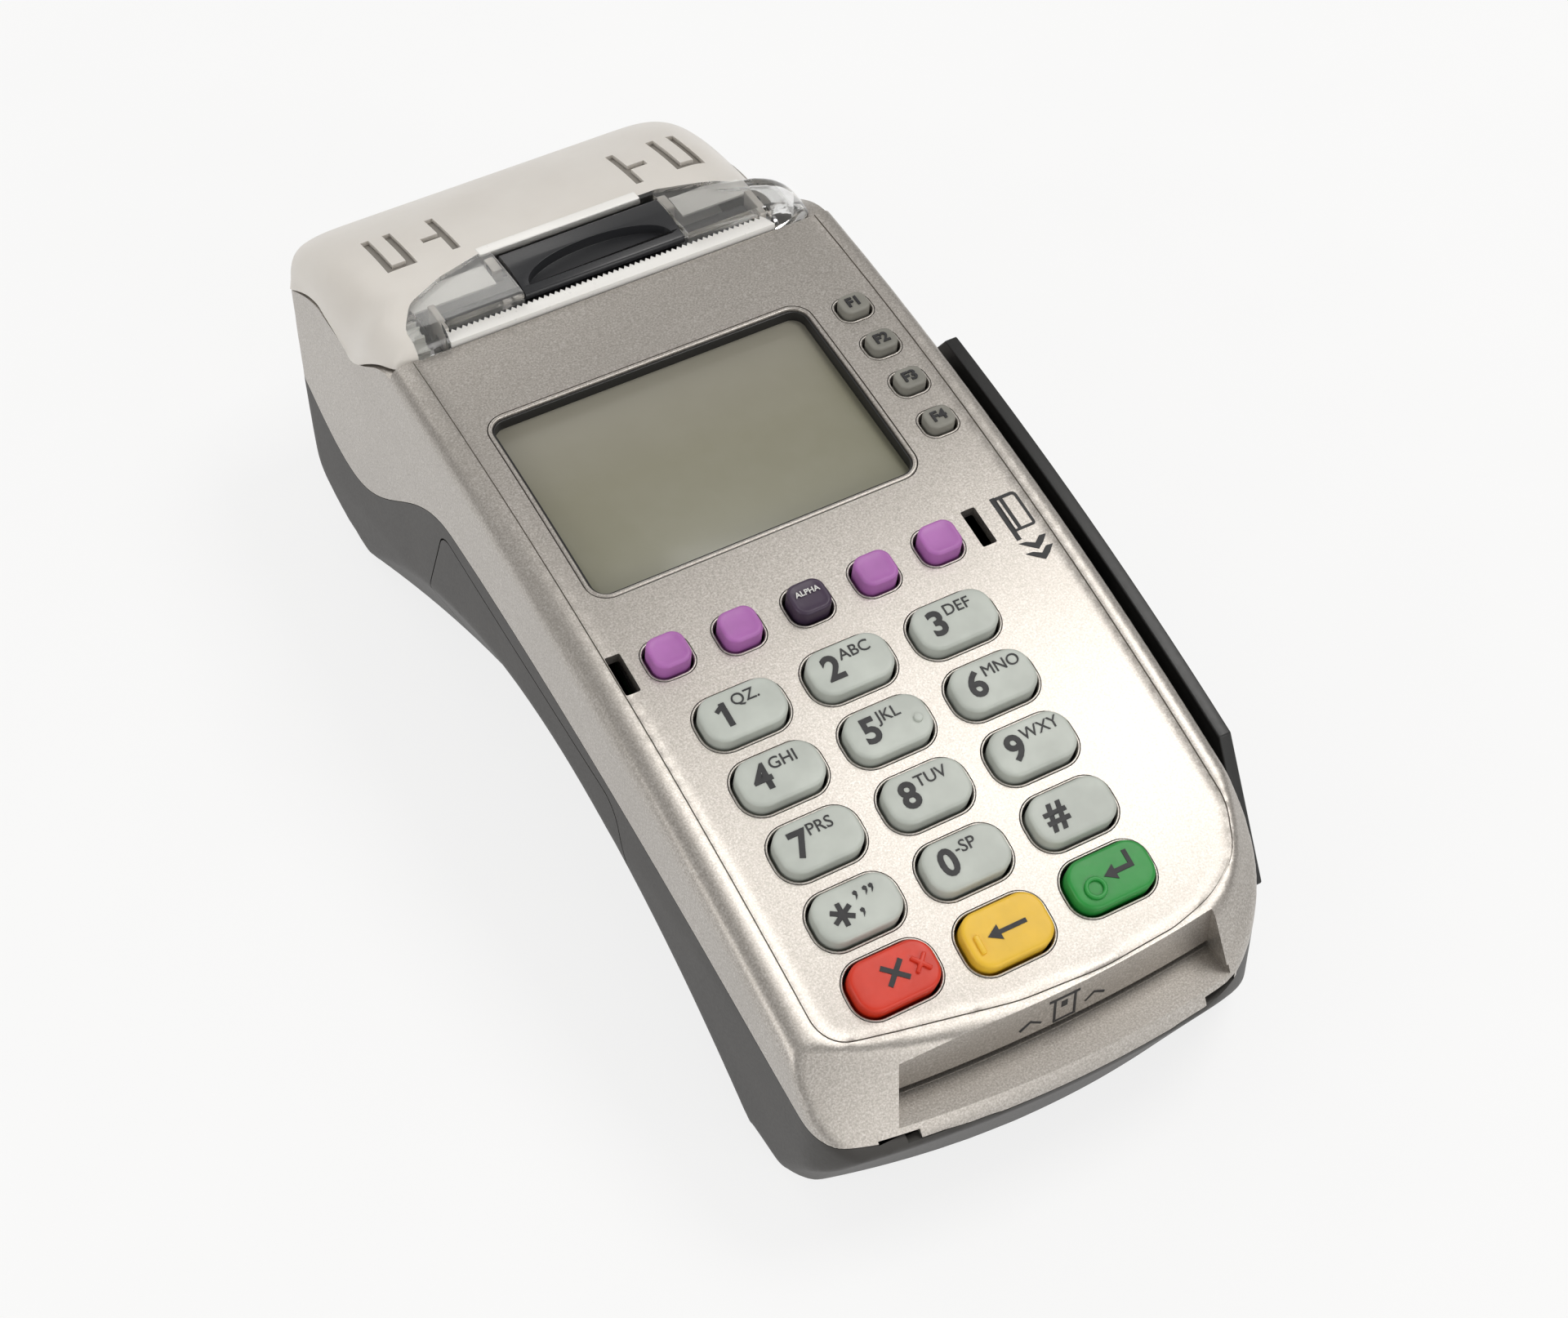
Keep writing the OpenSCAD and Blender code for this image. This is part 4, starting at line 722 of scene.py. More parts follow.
def doorTool(gap):
    p = door
    front, rear, z = p["front"] + gap, p["rear"] - gap, p["bayZ"] - p["shoulder"]
    out, footZ = p["foot"]
    frontIn, rearIn = (run - gap * p["share"] for run in p["taper"])
    points = [(front - out, footZ), (rear + out, footZ), (rear, z), (rear - rearIn, p["rearRise"] - gap),
              (front + frontIn, p["frontRise"] - gap), (front, z)]
    return plate("doorTool", roundCorners(points, p["corners"]), "side", -70, 70)


lower = outer
cut(lower, aboveSeam(-seam["gap"] / 2, 0.2))
cut(lower, inner)
doorPiece = copyOf(lower, "baseDoor")
cut(doorPiece, doorTool(door["gap"]), "INTERSECT")
cut(lower, doorTool(0))
cut(lower, notchTool(*notches["lower"]))
screws = {"at": ((-38.2, -81), (35, -81), (-38, 77), (36.5, 77)), "bore": 2.7}
bores = [plate("bore", circle(*at, screws["bore"], 24), "plan", -1, 8) for at in screws["at"]]
cut(lower, joined("screwBores", bores + [headWindow()]))
shown(lower, "lowerHousing", "base", "dark_plastic", paints["lower"], ["lower_housing"], 30)
shown(doorPiece, "baseDoor", "door", "dark_plastic", paints["lower"], ["base_door"], 30)
bay = {"half": 30, "y": (-41, 41), "foot": 4.4, "wall": 1.6}
front, rear = bay["y"]
tunnel = block("cableBay", about(0, bay["half"]), bay["y"], (bay["foot"], door["bayZ"] + bay["wall"]))
cut(tunnel, block("bayRoom", about(0, bay["half"] + 5), (front + bay["wall"], rear - bay["wall"]), (0, door["bayZ"])))
softEdges(tunnel, 0.3, 2, 30)
shown(tunnel, "cableBay", "base", "dark_plastic", paints["lower"])
print("lower housing,", len(lower.data.polygons), "faces, door,", len(doorPiece.data.polygons))


# ring of quads between two outlines with as many points
def ringPiece(name, outside, inside, start, end):
    ring = joined(name, [drawn([(a, b, end) for a, b in outline]) for outline in (outside, inside)])
    edited(ring, (bpy.ops.mesh.bridge_edge_loops, {}), extrusion((0, 0, (start - end) * mm)), outward)
    return ring


# bright rims in the key holes, with a dark line round each
rimPieces = []
rimShapes = {}
for name, x, s, w, l, r, rise in keys:
    size = (w, l, r)
    if size not in rimShapes:
        inside, outside = grown(size, pad["gap"], 10), grown(size, pad["gap"] + pad["rim"], 10)
        rimShapes[size] = ringPiece("rimRing", outside, inside, -2.2, 0.08)
        softEdges(rimShapes[size], 0.12)
    rimPieces.append(onFace(copyOf(rimShapes[size], "keyRim"), x, s))
for ring in rimShapes.values():
    drop(ring)
shown(joined("keyRims", rimPieces), "keyRims", "base", "silver_plastic", paints["rim"])
print("key rims,", len(keys))

# keys: a plate with a soft top edge, its top inset and crowned
capForm = {"skirt": 3.3, "edgeSteps": 5, "inset": 0.5, "insetRadius": 3.3, "crowning": (0.5, 0.32, 0.18)}


def pickTop(cap, upright, above):  # goes to edit mode with the top faces selected
    bpy.ops.object.mode_set(mode="EDIT")
    bpy.ops.mesh.select_mode(type="FACE")
    bpy.ops.mesh.select_all(action="DESELECT")
    bpy.ops.object.mode_set(mode="OBJECT")
    for polygon in cap.data.polygons:
        polygon.select = polygon.normal.z > upright and polygon.center.z > above * mm
    bpy.ops.object.mode_set(mode="EDIT")


def keyCap(w, l, r, rise, crown, edge):
    p = capForm
    cap = plate("keyCap", roundedRect(w, l, r, 10), "plan", -p["skirt"], rise)
    only(cap)
    pickTop(cap, 0.9, rise - 0.01)
    bpy.ops.mesh.bevel(offset=edge * mm, segments=p["edgeSteps"], profile=0.5)
    pickTop(cap, 0.999, rise - 0.01)
    for share in p["crowning"]:
        bpy.ops.mesh.inset(thickness=p["inset"] * mm * (r / p["insetRadius"]), depth=crown * share * mm)
    bpy.ops.object.mode_set(mode="OBJECT")
    edited(cap, outward)
    return cap


def rubberKey(name, colour, roughness, through):
    material, tree, shader = finish(name, colour, 0, roughness, (
        ("Subsurface Weight", through), ("Subsurface Radius", (0.002, 0.0015, 0.002))))
    tone = ramp(tree, noise(tree, 160, 3), [(0.3, scaled(colour, 0.88)), (0.7, scaled(colour, 1.07))])
    # painted shade: the colour darkens towards a third of itself in the concave creases of the cap, where pointiness
    # is low
    edge = node(tree, "NewGeometry").outputs["Pointiness"]
    creaseShade = ramp(tree, edge, [(0.42, [0.55] * 3), (0.495, [0] * 3)])
    tree.links.new(blendColour(tree, creaseShade, tone, (*scaled(colour, 0.35), 1)), shader.inputs["Base Color"])
    skin(tree, shader, noise(tree, 1700, 3), (roughness - 0.06, roughness + 0.1), (0.06, 0.03))
    return material


# kinds of key: slot, colour, roughness, light let through
keyKinds = {
    "grey": ("key_grey", (0.53, 0.565, 0.52), 0.40, 0.0),
    "purple": ("soft_key_purple", (0.44, 0.155, 0.46), 0.40, 0.25),
    "dark": ("soft_key_dark", (0.05, 0.03, 0.06), 0.40, 0.0),
    "red": ("key_red", (0.68, 0.036, 0.012), 0.40, 0.0),
    "yellow": ("key_yellow", (0.90, 0.56, 0.040), 0.40, 0.0),
    "green": ("key_green", (0.020, 0.30, 0.048), 0.40, 0.0),
    "function": ("function_key_grey", (0.25, 0.245, 0.215), 0.5, 0.0),
}
keyPaints = {kind: rubberKey("keyRubber." + kind, *values[1:]) for kind, values in keyKinds.items()}
# families of key: kind, crown and edge of the cap
families = {"key": ("grey", (0.04, 0.6)), "soft": ("purple", (-0.16, 0.55)), "function": ("function", (-0.05, 0.4))}
otherKinds = {"key_cancel": "red", "key_clear": "yellow", "key_enter": "green", "soft_key_3": "dark"}
caps = {}
for name, x, s, *size in keys:
    kind, form = families[name.split("_")[0]]
    kind = otherKinds.get(name, kind)
    if tuple(size) not in caps:
        caps[tuple(size)] = keyCap(*size, *form)
    cap = onFace(copyOf(caps[tuple(size)], name), x, s)
    shown(cap, "cap_" + name, name, keyKinds[kind][0], keyPaints[kind], [name], 50)
for cap in caps.values():
    drop(cap)
print("keys,", len(keys))

# legends: thin print on the key tops
legend = {"digit": 4.2, "letters": 1.95, "digitAt": (-2.9, 0.1), "lettersAt": (-1.15, 1.75), "bold": 0.18,
          "foot": 0.0, "top": 0.15, "capShare": 0.70}


def words(text, x, y, height, bold=0.0, align="CENTER"):
    obj = fresh(bpy.ops.object.text_add)
    obj.data.body = text
    obj.data.align_x = align
    obj.data.align_y = "CENTER"
    obj.data.size = height * mm / legend["capShare"]
    obj.data.offset = bold * mm
    obj.data.extrude = (legend["top"] - legend["foot"]) / 2 * mm
    obj.data.resolution_u = 4
    only(obj)
    bpy.ops.object.convert(target="MESH")
    obj = bpy.context.object
    obj.location = Vector((x, y, (legend["top"] + legend["foot"]) / 2)) * mm
    return settle(obj)


# a line of even width, mitred at its corners
def stroke(points, width):
    left, right = [], []
    count = len(points)
    for k in range(count):
        here = Vector(points[k])
        before = (here - Vector(points[k - 1])).normalized() if k > 0 else None
        after = (Vector(points[k + 1]) - here).normalized() if k < count - 1 else None
        along = ((before or after) + (after or before)).normalized()
        side = Vector((-along.y, along.x))
        reach = width / 2 / max(0.3, along.dot(after or before))
        left.append(tuple(here + side * reach))
        right.append(tuple(here - side * reach))
    return left + right[::-1]


def inkShape(points):
    return plate("inkShape", points, "plan", legend["foot"], legend["top"])


def inkLine(points, width):
    return inkShape(stroke(points, width))


def onKey(piece, name):
    x, s, rise = next((key[1], key[2], key[6]) for key in keys if key[0] == name)
    return onFace(piece, x, s, rise)


def keyPrint(name, pieces, paint=paints["ink"]):
    mark = onKey(joined("legend", pieces), name)
    shown(mark, "legend_" + name, name, frame["record"]["materials"][0]["slot"], paint)


legends = {"key_1": "1QZ.", "key_2": "2ABC", "key_3": "3DEF", "key_4": "4GHI", "key_5": "5JKL", "key_6": "6MNO",
           "key_7": "7PRS", "key_8": "8TUV", "key_9": "9WXY", "key_0": "0-SP", "key_hash": "#"}
for name, text in legends.items():
    if name == "key_1":
        flag = inkLine([(-2.4, 1.95), (-4.0, 0.95)], 0.75)
        pieces = [united(inkLine([(-2.7, 2.2), (-2.7, -2.0)], 0.95), flag)]
    else:
        pieces = [words(text[0], *legend["digitAt"], legend["digit"], legend["bold"])]
    if text[1:]:
        pieces.append(words(text[1:], *legend["lettersAt"], legend["letters"], 0, "LEFT"))
    keyPrint(name, pieces)
star = {"at": (-2.6, -0.2), "reach": 1.9, "width": 0.78, "commas": ((0.6, 1.9), (0.4, -0.9), (2.3, 2.0), (3.3, 2.0)),
        "comma": ((-0.32, 0.35), (0.1, 0.55), (0.38, 0.25), (0.25, -0.4), (-0.22, -0.95), (-0.02, -0.2), (-0.32, 0))}
arms = []
for k in range(3):
    turn = math.radians(90 + 60 * k)
    reach = Vector((math.cos(turn), math.sin(turn))) * star["reach"]
    arms.append(inkLine([Vector(star["at"]) - reach, Vector(star["at"]) + reach], star["width"]))
commas = [inkShape([(x + a, y + b) for a, b in star["comma"]]) for x, y in star["commas"]]
keyPrint("key_star", [united(*arms)] + commas)
crossLines = [[(-1.6, 1.75), (1.9, -1.25)], [(-1.5, -1.35), (1.8, 1.85)]]
keyPrint("key_cancel", [united(*(inkLine(points, 0.8) for points in crossLines))])
keyPrint("key_clear", [inkShape([
    (-3.4, 0.1), (-1.3, 1.35), (-1.3, 0.45), (3.2, 0.45), (3.2, -0.25), (-1.3, -0.25), (-1.3, -1.15)])])
keyPrint("key_enter", [inkShape([
    (-1.3, 0.1), (0.7, 1.35), (0.7, 0.5), (3.1, 0.5), (3.1, 2.6),
    (3.85, 2.6), (3.85, -0.3), (0.7, -0.3), (0.7, -1.15)])])
keyPrint("soft_key_3", [words("ALPHA", 0, 0.7, 0.95, 0.02)], paints["whiteInk"])
for k in range(4):
    keyPrint("function_key_%d" % (k + 1), [words("F%d" % (k + 1), 0, 0, 1.9, 0.09)])

# raised marks that a finger finds
feel = {"z": (-0.2, 0.55), "edge": 0.22, "dot": (4.7, -0.8, 0.75), "armWidth": 0.66,
        "arms": ([(3.2, 1.3), (5.4, -1.4)], [(3.1, -1.2), (5.5, 1.2)]),
        "bar": ((-5.5, -4.6), (-2.0, 1.1)), "ringAt": (-3.4, -1.0), "ring": (1.8, 1.15)}


def feelShape(points):
    return plate("feelShape", points, "plan", *feel["z"])


feelMarks = {
    "key_5": ("grey", feelShape(circle(*feel["dot"], 24))),
    "key_cancel": ("red", united(*(feelShape(stroke(points, feel["armWidth"])) for points in feel["arms"]))),
    "key_clear": ("yellow", feelShape(roundCorners(rect(*feel["bar"]), [0.35] * 4, 4))),
    "key_enter": ("green", ringPiece("feelRing", *(circle(*feel["ringAt"], r, 24) for r in feel["ring"]), *feel["z"])),
}
for name, (kind, piece) in feelMarks.items():
    softEdges(piece, feel["edge"])
    shown(onKey(piece, name), "feel_" + name, name, keyKinds[kind][0], keyPaints[kind])
print("legends and raised marks done")


# display: bright rim, black frame, glass with the grey-green panel under it
def denser(points, cuts=20, over=5):
    out = []
    for k, point in enumerate(points):
        here, there = Vector(point), Vector(points[(k + 1) % len(points)])
        out.append(point)
        if (there - here).length > over:
            out += [tuple(here.lerp(there, (i + 1) / (cuts + 1))) for i in range(cuts)]
    return out


def bent(obj):  # follows the face from end to end
    for vertex in obj.data.vertices:
        vertex.co.z -= vertex.co.y ** 2 / (2 * face["radius"] * mm)
    return obj


def onDisplay(piece):
    onFace(piece, display["x"], display["s"])


w, l, r = display["size"]
wall, lap, play, corner = 2 * display["wall"], display["lap"], display["play"], r - display["corner"]
rimOutlines = [denser(grown(display["size"], by)) for by in (display["rim"], 0)]
displayRim = ringPiece("displayRim", *rimOutlines, *display["rimZ"])
softEdges(displayRim, 0.2)
onDisplay(bent(displayRim))
shown(displayRim, "displayRim", "base", "silver_plastic", paints["rim"])
frameOutlines = [denser(roundedRect(w - play, l - play, r)), denser(roundedRect(w - wall, l - wall, corner))]
displayFrame = ringPiece("displayFrame", *frameOutlines, *display["frameZ"])
softEdges(displayFrame, 0.12, 2)
onDisplay(bent(displayFrame))
shown(displayFrame, "displayFrame", "base", "black_plastic", paints["black"], ["display_bezel"])
glass = plate("displayGlass", roundedRect(w - wall + lap, l - wall + lap, corner), "plan", *display["glassZ"])
softEdges(glass, 0.1, 2)
onDisplay(glass)
glassPaint, tree, shader = finish("displayPanel", (0.27, 0.262, 0.19), 0, 0.35, (
    ("Coat Weight", 0.3), ("Coat Roughness", 0.12)))
place = node(tree, "TexCoord")
parts = node(tree, "SeparateXYZ")
tree.links.new(place.outputs["Object"], parts.inputs[0])
# painted shading: the panel colour runs darker towards the front of the display and lighter towards the rear
along = mapped(tree, parts.outputs["Y"], 0.0, 1.0, **{"From Min": -0.012, "From Max": 0.032})
shade = ramp(tree, along, [(0.0, (0.235, 0.232, 0.165)), (0.55, (0.262, 0.252, 0.185)), (1.0, (0.30, 0.285, 0.235))])
smear = ramp(tree, noise(tree, 120, 4, 0.6), [(0.4, [0] * 3), (0.8, [0.12] * 3)])
tree.links.new(blendColour(tree, smear, shade, (0.36, 0.35, 0.30, 1)), shader.inputs["Base Color"])
skin(tree, shader, noise(tree, 240, 4, 0.6), (0.26, 0.44))
shown(glass, "displayGlass", "base", "window_plastic", glassPaint, ["display_window"])
print("display done")

# paper cover: a sheet shaped by its fall to the sides and the rear, then hollowed
lid = {"front": 49.2, "rear": 101.95, "top": 63, "floor": 20, "left": 42.6, "right": 41.1, "half": 43.5,
       "leftRound": (12.7, 12.65), "rightRound": (18.7, 28), "frontLeft": (9, 9), "frontRight": (14.1, 10.4),
       "stepLeft": (58, 68), "stepRight": (61.4, 63), "fallFrom": 49.15, "fall": 19.35, "blend": 1.5, "lip": 3,
       "cells": (116, 72), "wall": 2, "voxel": 0.7, "softening": 8, "innerSoftening": 4, "gap": 0.4,
       "latch": (15.4, (51.6, 65.8)), "tear": (30.5, (40, 52.6)), "roomZ": (30, 80), "earPlay": 0.4,
       "earY": (94.3, 110), "earZ": (30, 42.2), "gearX": (-37.2, -33.1), "gear": 5.75}
rollerAt = (55.5, 55.6)
latchAt = (63, 59.8)


def roundFall(distance, size):
    t = min(1, max(0, distance / size[0]))
    return size[1] * (1 - math.sqrt(1 - t * t))


def coverHeight(x, y):
    p = lid
    if x < 0:
        away, front, dome, (y0, y1) = x + p["left"], p["frontLeft"], p["leftRound"], p["stepLeft"]
    else:
        away, front, dome, (y0, y1) = p["right"] - x, p["frontRight"], p["rightRound"], p["stepRight"]
    share = ease((y - y0) / (y1 - y0))
    across = between(roundFall(front[0] - away, front), roundFall(dome[0] - away, dome), share)
    along = roundFall(y - p["fallFrom"], (p["rear"] - p["fallFrom"], p["fall"]))
    lip = roundFall(p["front"] + p["lip"] - y, (p["lip"], p["lip"]))
    return p["top"] - (across ** p["blend"] + along ** p["blend"]) ** (1 / p["blend"]) - lip


def coverTop(across, length):
    x = across * lid["half"]
    y = between(lid["front"], lid["rear"], length)
    return x, y, coverHeight(min(max(x, -lid["left"]), lid["right"]), y)


cover = fieldSolid(lid["cells"], coverTop, 2, lid["floor"])
cut(cover, plate("coverPlan", planOutline(), "plan", 10, 90), "INTERSECT")
voxels(cover, lid["voxel"], lid["softening"])

# moulded slots in the dome: a bar with a stub beside the latch, a pair joined at the front further out
slots = {"x": -2.2, "tee": 17.5, "pair": (25.5, 29.5), "y": (70.4, 83.2), "width": 1.5, "stub": (75.6, 77.2, 4),
         "foot": 1.8, "z": (50, 70), "floor": 1.05, "face": 0.75, "play": 0.06}
slotFloor = shrunk(cover, "slotFloor", slots["floor"], lid["innerSoftening"])
slotFace = shrunk(cover, "slotFace", slots["face"], lid["innerSoftening"])
cut(cover, shrunk(cover, "coverInner", lid["wall"], lid["innerSoftening"]))
cut(cover, coverZone(lid["gap"]), "INTERSECT")
rooms = []
for half, y in (lid["latch"], lid["tear"]):
    rooms.append(block("frontRoom", about(0, half), y, lid["roomZ"]))
rooms = [united(*rooms)]
for start, end in hinge["ears"]:
    rooms.append(block("earRoom", (start - lid["earPlay"], end + lid["earPlay"]), lid["earY"], lid["earZ"]))
rooms.append(rod("gearRoom", lid["gearX"], rollerAt, lid["gear"]))
cut(cover, joined("coverRooms", rooms))


def slotPrisms(inset):
    p = slots
    prisms = []
    half = p["width"] / 2 - inset
    front, back = p["y"][0] + inset, p["y"][1] - inset
    y0, y1, reach = p["stub"][0] + inset, p["stub"][1] - inset, p["stub"][2] - inset
    near, far = p["pair"]
    wide, foot = far - near, front + p["foot"] - 2 * inset
    tee = [(half, back), (-half, back), (-half, front), (half, front),
           (half, y0), (reach, y0), (reach, y1), (half, y1)]
    pair = [(-half, back), (-half, front), (wide + half, front), (wide + half, back),
            (wide - half, back), (wide - half, foot), (half, foot), (half, back)]
    for side in (-1, 1):
        for start, shape in ((p["tee"], tee), (near, pair)):
            outline = [(p["x"] + side * (start + a), b) for a, b in shape]
            prisms.append(plate("slotPrism", outline, "plan", *p["z"]))
    return joined("slotPrisms", prisms)


slotCut = slotPrisms(0)
cut(slotCut, slotFloor, keep=True)
cut(cover, slotCut)
# a dark layer at the floor of each slot: painted shade in the slots
slotFill = slotPrisms(slots["play"])
cut(slotFill, slotFace, "INTERSECT")
cut(slotFill, slotFloor)
print("cover form,", len(cover.data.polygons), "faces")

# frosted and clear plastics
frosted, tree, shader = finish("frostedDome", (0.88, 0.845, 0.795), 0, 0.34, (
    ("Transmission Weight", 0.14), ("Subsurface Weight", 0.25), ("Subsurface Radius", (0.004, 0.004, 0.0038)),
    ("IOR", 1.49)))
haze = ramp(tree, noise(tree, 60, 3), [(0.3, (0.85, 0.81, 0.755)), (0.7, (0.91, 0.875, 0.825))])
tree.links.new(haze, shader.inputs["Base Color"])
skin(tree, shader, noise(tree, 1500, 3), (0.27, 0.42), (0.05, 0.03))
clear, tree, shader = finish("clearFront", (0.93, 0.93, 0.92), 0, 0.06, (("Transmission Weight", 0.96), ("IOR", 1.45)))
skin(tree, shader, noise(tree, 420, 5, 0.65), (0.02, 0.09))
grain(tree, shader, noise(tree, 110), 0.12, 0.12)

# the clear front between the dome and the panel
clearPart = {"z": (45, 80), "corners": [0, 0, 0, 6, 4, 3, 3, 6, 6, 6],
             "plan": [(-36, 40), (60, 40), (60, 62.6), (30, 62.8), (24.5, 64.2), (16.5, 66.9), (-16.5, 66.9),
                      (-25.5, 64.2), (-33, 60), (-36.4, 54)]}
clearTool = plate("clearTool", roundCorners(clearPart["plan"], clearPart["corners"], 6), "plan", *clearPart["z"])
coverFront = copyOf(cover, "coverFront")
cut(coverFront, clearTool, "INTERSECT", keep=True)
cut(cover, clearTool)
shown(cover, "coverDome", "cover", "frosted_plastic", frosted, ["paper_cover"], 40)
shown(coverFront, "coverFront", "cover", "clear_plastic", clear, (), 40)
shown(slotFill, "coverSlots", "cover", "frosted_plastic", paints["slot"])
# white strip behind the latch
strip = {"x": (-17.4, 13.0), "side": [(65.9, 60.8), (68.3, 60.6), (68.3, 61.9), (65.9, 62.22)]}
stripPiece = plate("coverStrip", strip["side"], "side", *strip["x"])
softEdges(stripPiece, 0.3, 3, 30)
shown(stripPiece, "coverStrip", "cover", "frosted_plastic", paints["strip"])
# pale floor under the clear front, either side of the latch
liner = {"x": ((-33, -17.6), (17.6, 31)), "y": (58.9, 64.2), "z": (59.7, 60.2)}
linerPiece = joined("coverLiner", [block("liner", x, liner["y"], liner["z"]) for x in liner["x"]])
softEdges(linerPiece, 0.15, 2, 30)
shown(linerPiece, "coverLiner", "cover", "frosted_plastic", paints["strip"])
# knuckles for the hinge, then on each side a lug for the roller and a cheek for the latch
lugForms = (
    (roundCorners(rect((52.5, 58.6), (51.6, 61.4)), [2.9, 2.9, 0.4, 0.4], 8), (29.3, 30.5), rollerAt, 1.75),
    (roundCorners(rect((61, 65), (57.6, 61.4)), [1.6, 1.6, 0.3, 0.3], 6), (15.5, 17.2), latchAt, 1.2),
)
lugs = []
for start, end in hinge["knuckles"]:
    knuckle = rod("knuckle", (start, end), hinge["at"], hinge["knuckle"])
    cut(knuckle, rod("pinRoom", (start - 1, end + 1), hinge["at"], hinge["pin"] + 0.15))
    lugs.append(knuckle)
for side in (-1, 1):
    for outline, (near, far), at, bore in lugForms:
        lug = plate("lug", outline, "side", side * near, side * far)
        cut(lug, rod("lugBore", (-40, 40), at, bore))
        lugs.append(lug)
lugPiece = joined("coverLugs", lugs)
softEdges(lugPiece, 0.15, 2)
shown(lugPiece, "coverLugs", "cover", "frosted_plastic", frosted)
print("cover split,", len(cover.data.polygons), "faces in the dome,", len(coverFront.data.polygons), "in the front")

# latch with its finger scoop
latch = {"x": (-14.95, 14.95), "knob": 2, "neckTop": 61, "pin": 1, "pinX": (-17.2, 17.2), "scoopY": (54.6, 60.0),
         "scoopHalf": 13.4, "scoopZ": (61.0, 70), "corners": [0.3, 0.3, 0.9, 12, 14, 0.7],
         "side": [(53.0, 60.65), (64.0, 60.65), (64.0, 62.6), (60.0, 63.0), (56.0, 62.75), (53.0, 61.9)]}
latchPiece = plate("coverLatch", roundCorners(latch["side"], latch["corners"], 6), "side", *latch["x"])
scoop = []
for t in shares(20):
    scoop.append((latch["scoopHalf"] * math.cos(math.pi * t), between(*latch["scoopY"], math.sin(math.pi * t))))
cut(latchPiece, plate("scoop", scoop, "plan", *latch["scoopZ"]))
softEdges(latchPiece, 0.28, 3, 30)
pivotY, pivotZ = latchAt
knob = rod("latchKnob", latch["x"], latchAt, latch["knob"])
neck = block("latchNeck", latch["x"], (pivotY - latch["knob"], pivotY), (pivotZ, latch["neckTop"]))
pins = rod("latchPins", latch["pinX"], latchAt, latch["pin"])
latchPiece = joined("coverLatch", [latchPiece, knob, neck, pins])
shown(latchPiece, "coverLatch", "latch", "latch_black", paints["latch"], ["cover_latch"])

# tear bar with its row of teeth
tear = {"half": 30.4, "front": 49.3, "back": 52.4, "z": (59.5, 61.1), "pitch": 1.0, "tooth": 0.75}
half, root = tear["half"], tear["back"] - tear["tooth"]
teeth = [(half, tear["front"]), (-half, tear["front"]), (-half, root)]
for k in range(int(2 * half / tear["pitch"])):
    teeth += [(-half + (k + 0.5) * tear["pitch"], tear["back"]), (-half + (k + 1) * tear["pitch"], root)]
tearBar = plate("tearBar", teeth, "plan", *tear["z"])
softEdges(tearBar, 0.08, 2)
brightClear, tree, shader = finish("brightClear", (0.96, 0.95, 0.92), 0, 0.3, (("Transmission Weight", 0.05),))
skin(tree, shader, noise(tree, 700, 4), (0.2, 0.42))
grain(tree, shader, noise(tree, 900), 0.1, 0.05)
shown(tearBar, "tearBar", "cover", "clear_plastic", brightClear, ["tear_bar"])
print("latch and tear bar done")

# swipe rail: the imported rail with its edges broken
rail = {"edge": 0.5, "merge": 2e-5, "flat": 0.4}
railPiece = bpy.data.objects.new("swipeRail", nodes["swipe_rail"].data.copy())
bpy.context.scene.collection.objects.link(railPiece)
recalculated(railPiece, rail["merge"])
edited(railPiece, (bpy.ops.mesh.dissolve_limited, {"angle_limit": math.radians(rail["flat"])}))
softEdges(railPiece, rail["edge"], 4, 40)
shown(railPiece, "swipeRail", "base", "black_plastic", paints["black"], ["swipe_rail"])
print("rail,", len(railPiece.data.polygons), "faces")

# printed signs: the swipe sign beside the right slot, the card sign over the card mouth
# the swipe sign's second axis runs away from the user, from its own middle
signs = {"x": (31.9, 36.4), "y": (-0.3, 6.8), "middle": 23.0, "z": (-0.02, 0.05), "bar": 0.85, "barFoot": -1.9,
         "chevrons": (0, 2.12), "chevron": ((31.7, -2.5), (33.0, -2.65), (34.25, -3.4), (35.5, -2.45), (36.75, -2.6),
                                            (35.5, -3.8), (34.25, -4.65), (33.0, -3.65))}


def signShape(points):
    return plate("signShape", points, "plan", *signs["z"])


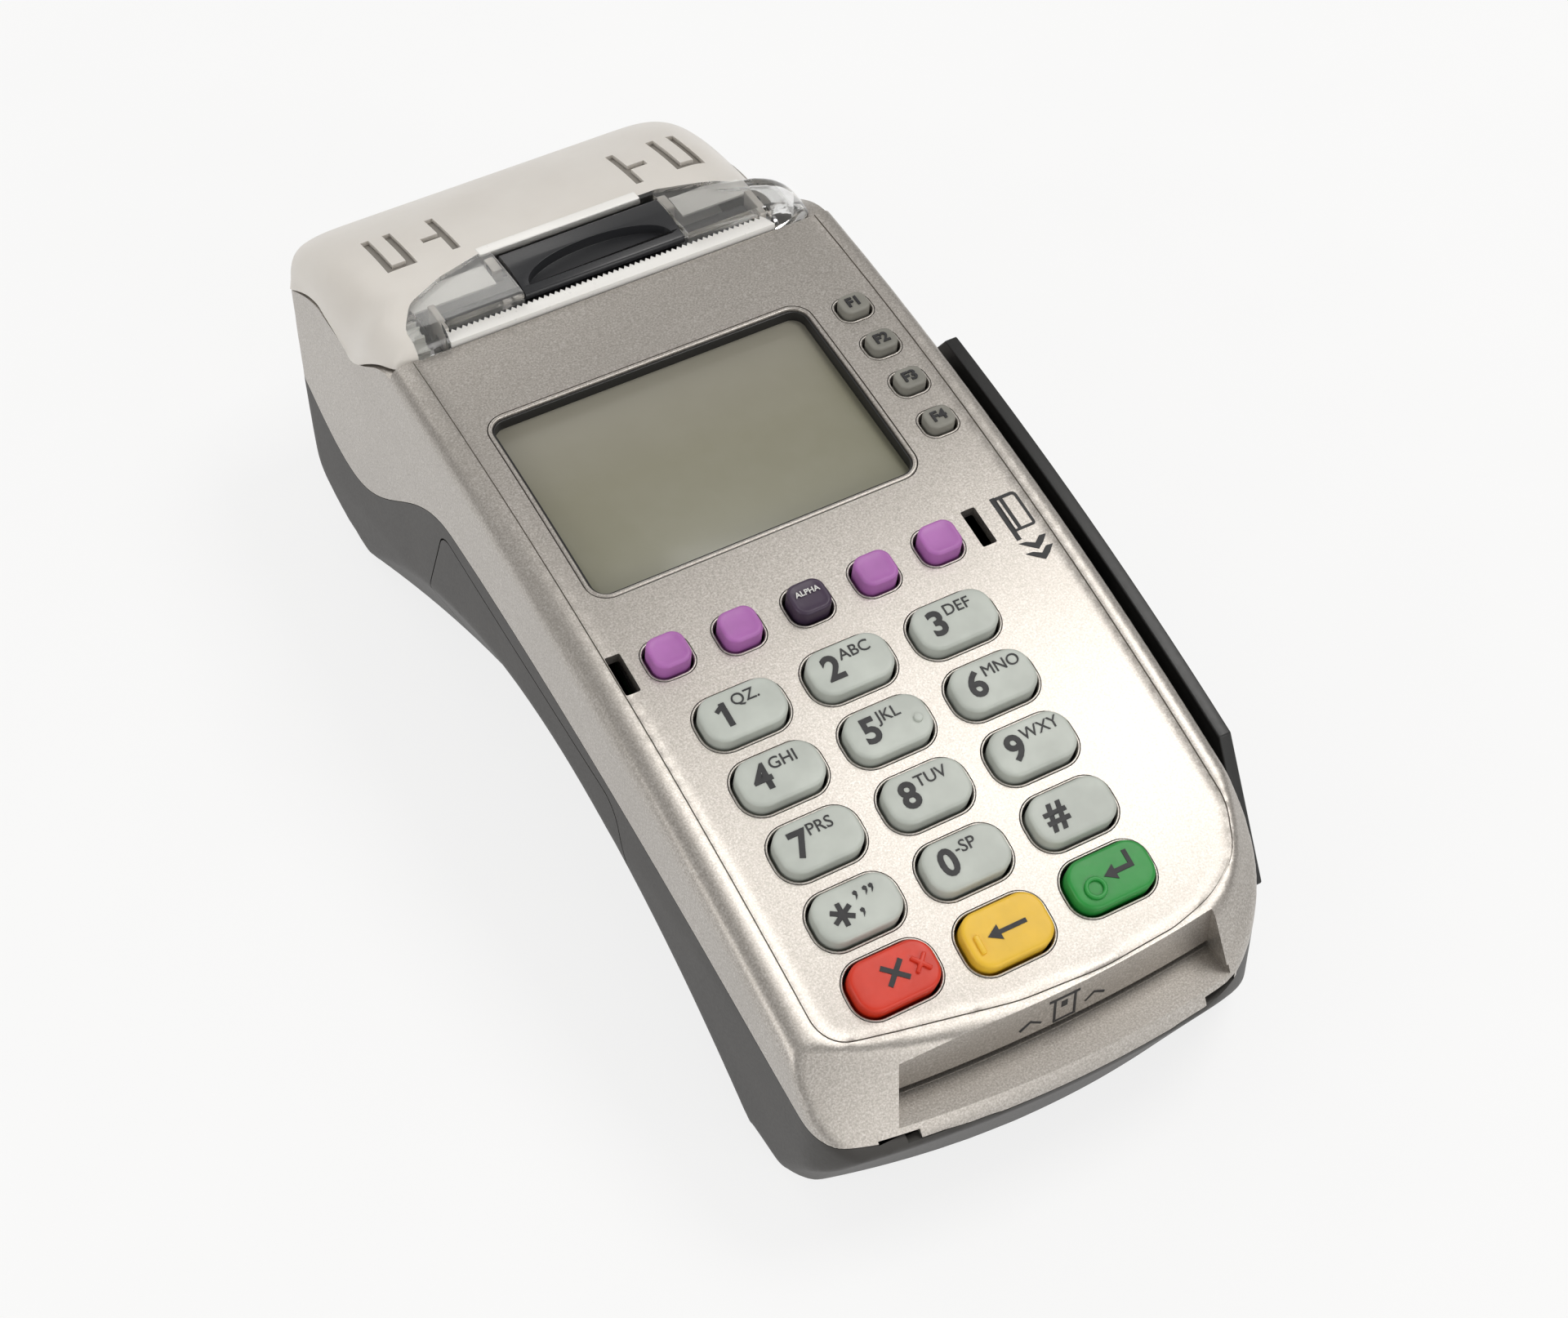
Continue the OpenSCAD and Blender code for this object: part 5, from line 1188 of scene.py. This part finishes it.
left, right = signs["x"]
low, top = signs["y"]
cardSign = signShape(roundCorners(rect((left + 0.55, right), (top, low)), [0, 0.9, 0.6, 0], 5))
cardHole = roundCorners(rect((left + 1.95, right - 0.5), (top - 0.55, low + 0.5)), [0, 0.4, 0.2, 0], 4)
for hole in (cardHole, rect((left + 0.85, left + 1.3), (top - 0.55, low + 0.45))):
    cut(cardSign, plate("signHole", hole, "plan", -1, 1))
marks = [cardSign, signShape(stroke([(left + 0.32, top + 0.1), (left + 0.32, signs["barFoot"])], signs["bar"]))]
for further in signs["chevrons"]:
    marks.append(signShape([(a, b - further) for a, b in signs["chevron"]]))
swipeSign = onFace(joined("swipeSign", marks), 0, -signs["middle"])
shown(swipeSign, "swipeSign", "base", "black_plastic", paints["ink"])
# strokes of the card sign, each with its width
chipStrokes = (
    ([(-2.75, 30.45), (2.55, 30.45)], 0.5),
    ([(-1.75, 30.3), (-1.75, 25.2), (1.75, 25.2), (1.75, 30.3)], 0.42),
    ([(-0.1, 29.45), (-0.1, 28.1)], 1.05),
    ([(-7.7, 26.6), (-5.9, 27.9), (-4.0, 26.5)], 0.42),
    ([(3.6, 26.6), (5.2, 27.95), (7.0, 26.8)], 0.42),
)
marks = []
for points, width in chipStrokes:
    y = recessY(sum(x for x, z in points) / len(points) - recess["x"])
    marks.append(plate("noseLine", stroke(points, width), "front", y - 0.06, y + 0.2))
shown(joined("chipSign", marks), "chipSign", "base", "black_plastic", paints["ink"])
print("signs done")

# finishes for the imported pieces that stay
staying = {
    "lcd": "lcd_module", "board": "display_board main_board", "silicone": "function_mat keypad_mat",
    "steel": "hinge_pin stepper_motor head_spring swipe_spring housing_screws platen_shaft",
    "black": "printer_frame paper_bucket chip_reader network_jack data_jack line_jack power_jack",
    "ceramic": "print_head", "headSteel": "swipe_head", "brass": "chip_contacts motor_pinion", "rubber": "rubber_feet",
    "roller": "platen_roller", "acetal": "platen_gear idler_gear", "paper": "paper_roll",
}
for paint, names in staying.items():
    for name in names.split():
        for holder in nodes[name].material_slots:
            holder.material = paints[paint]
print("packed pieces painted")
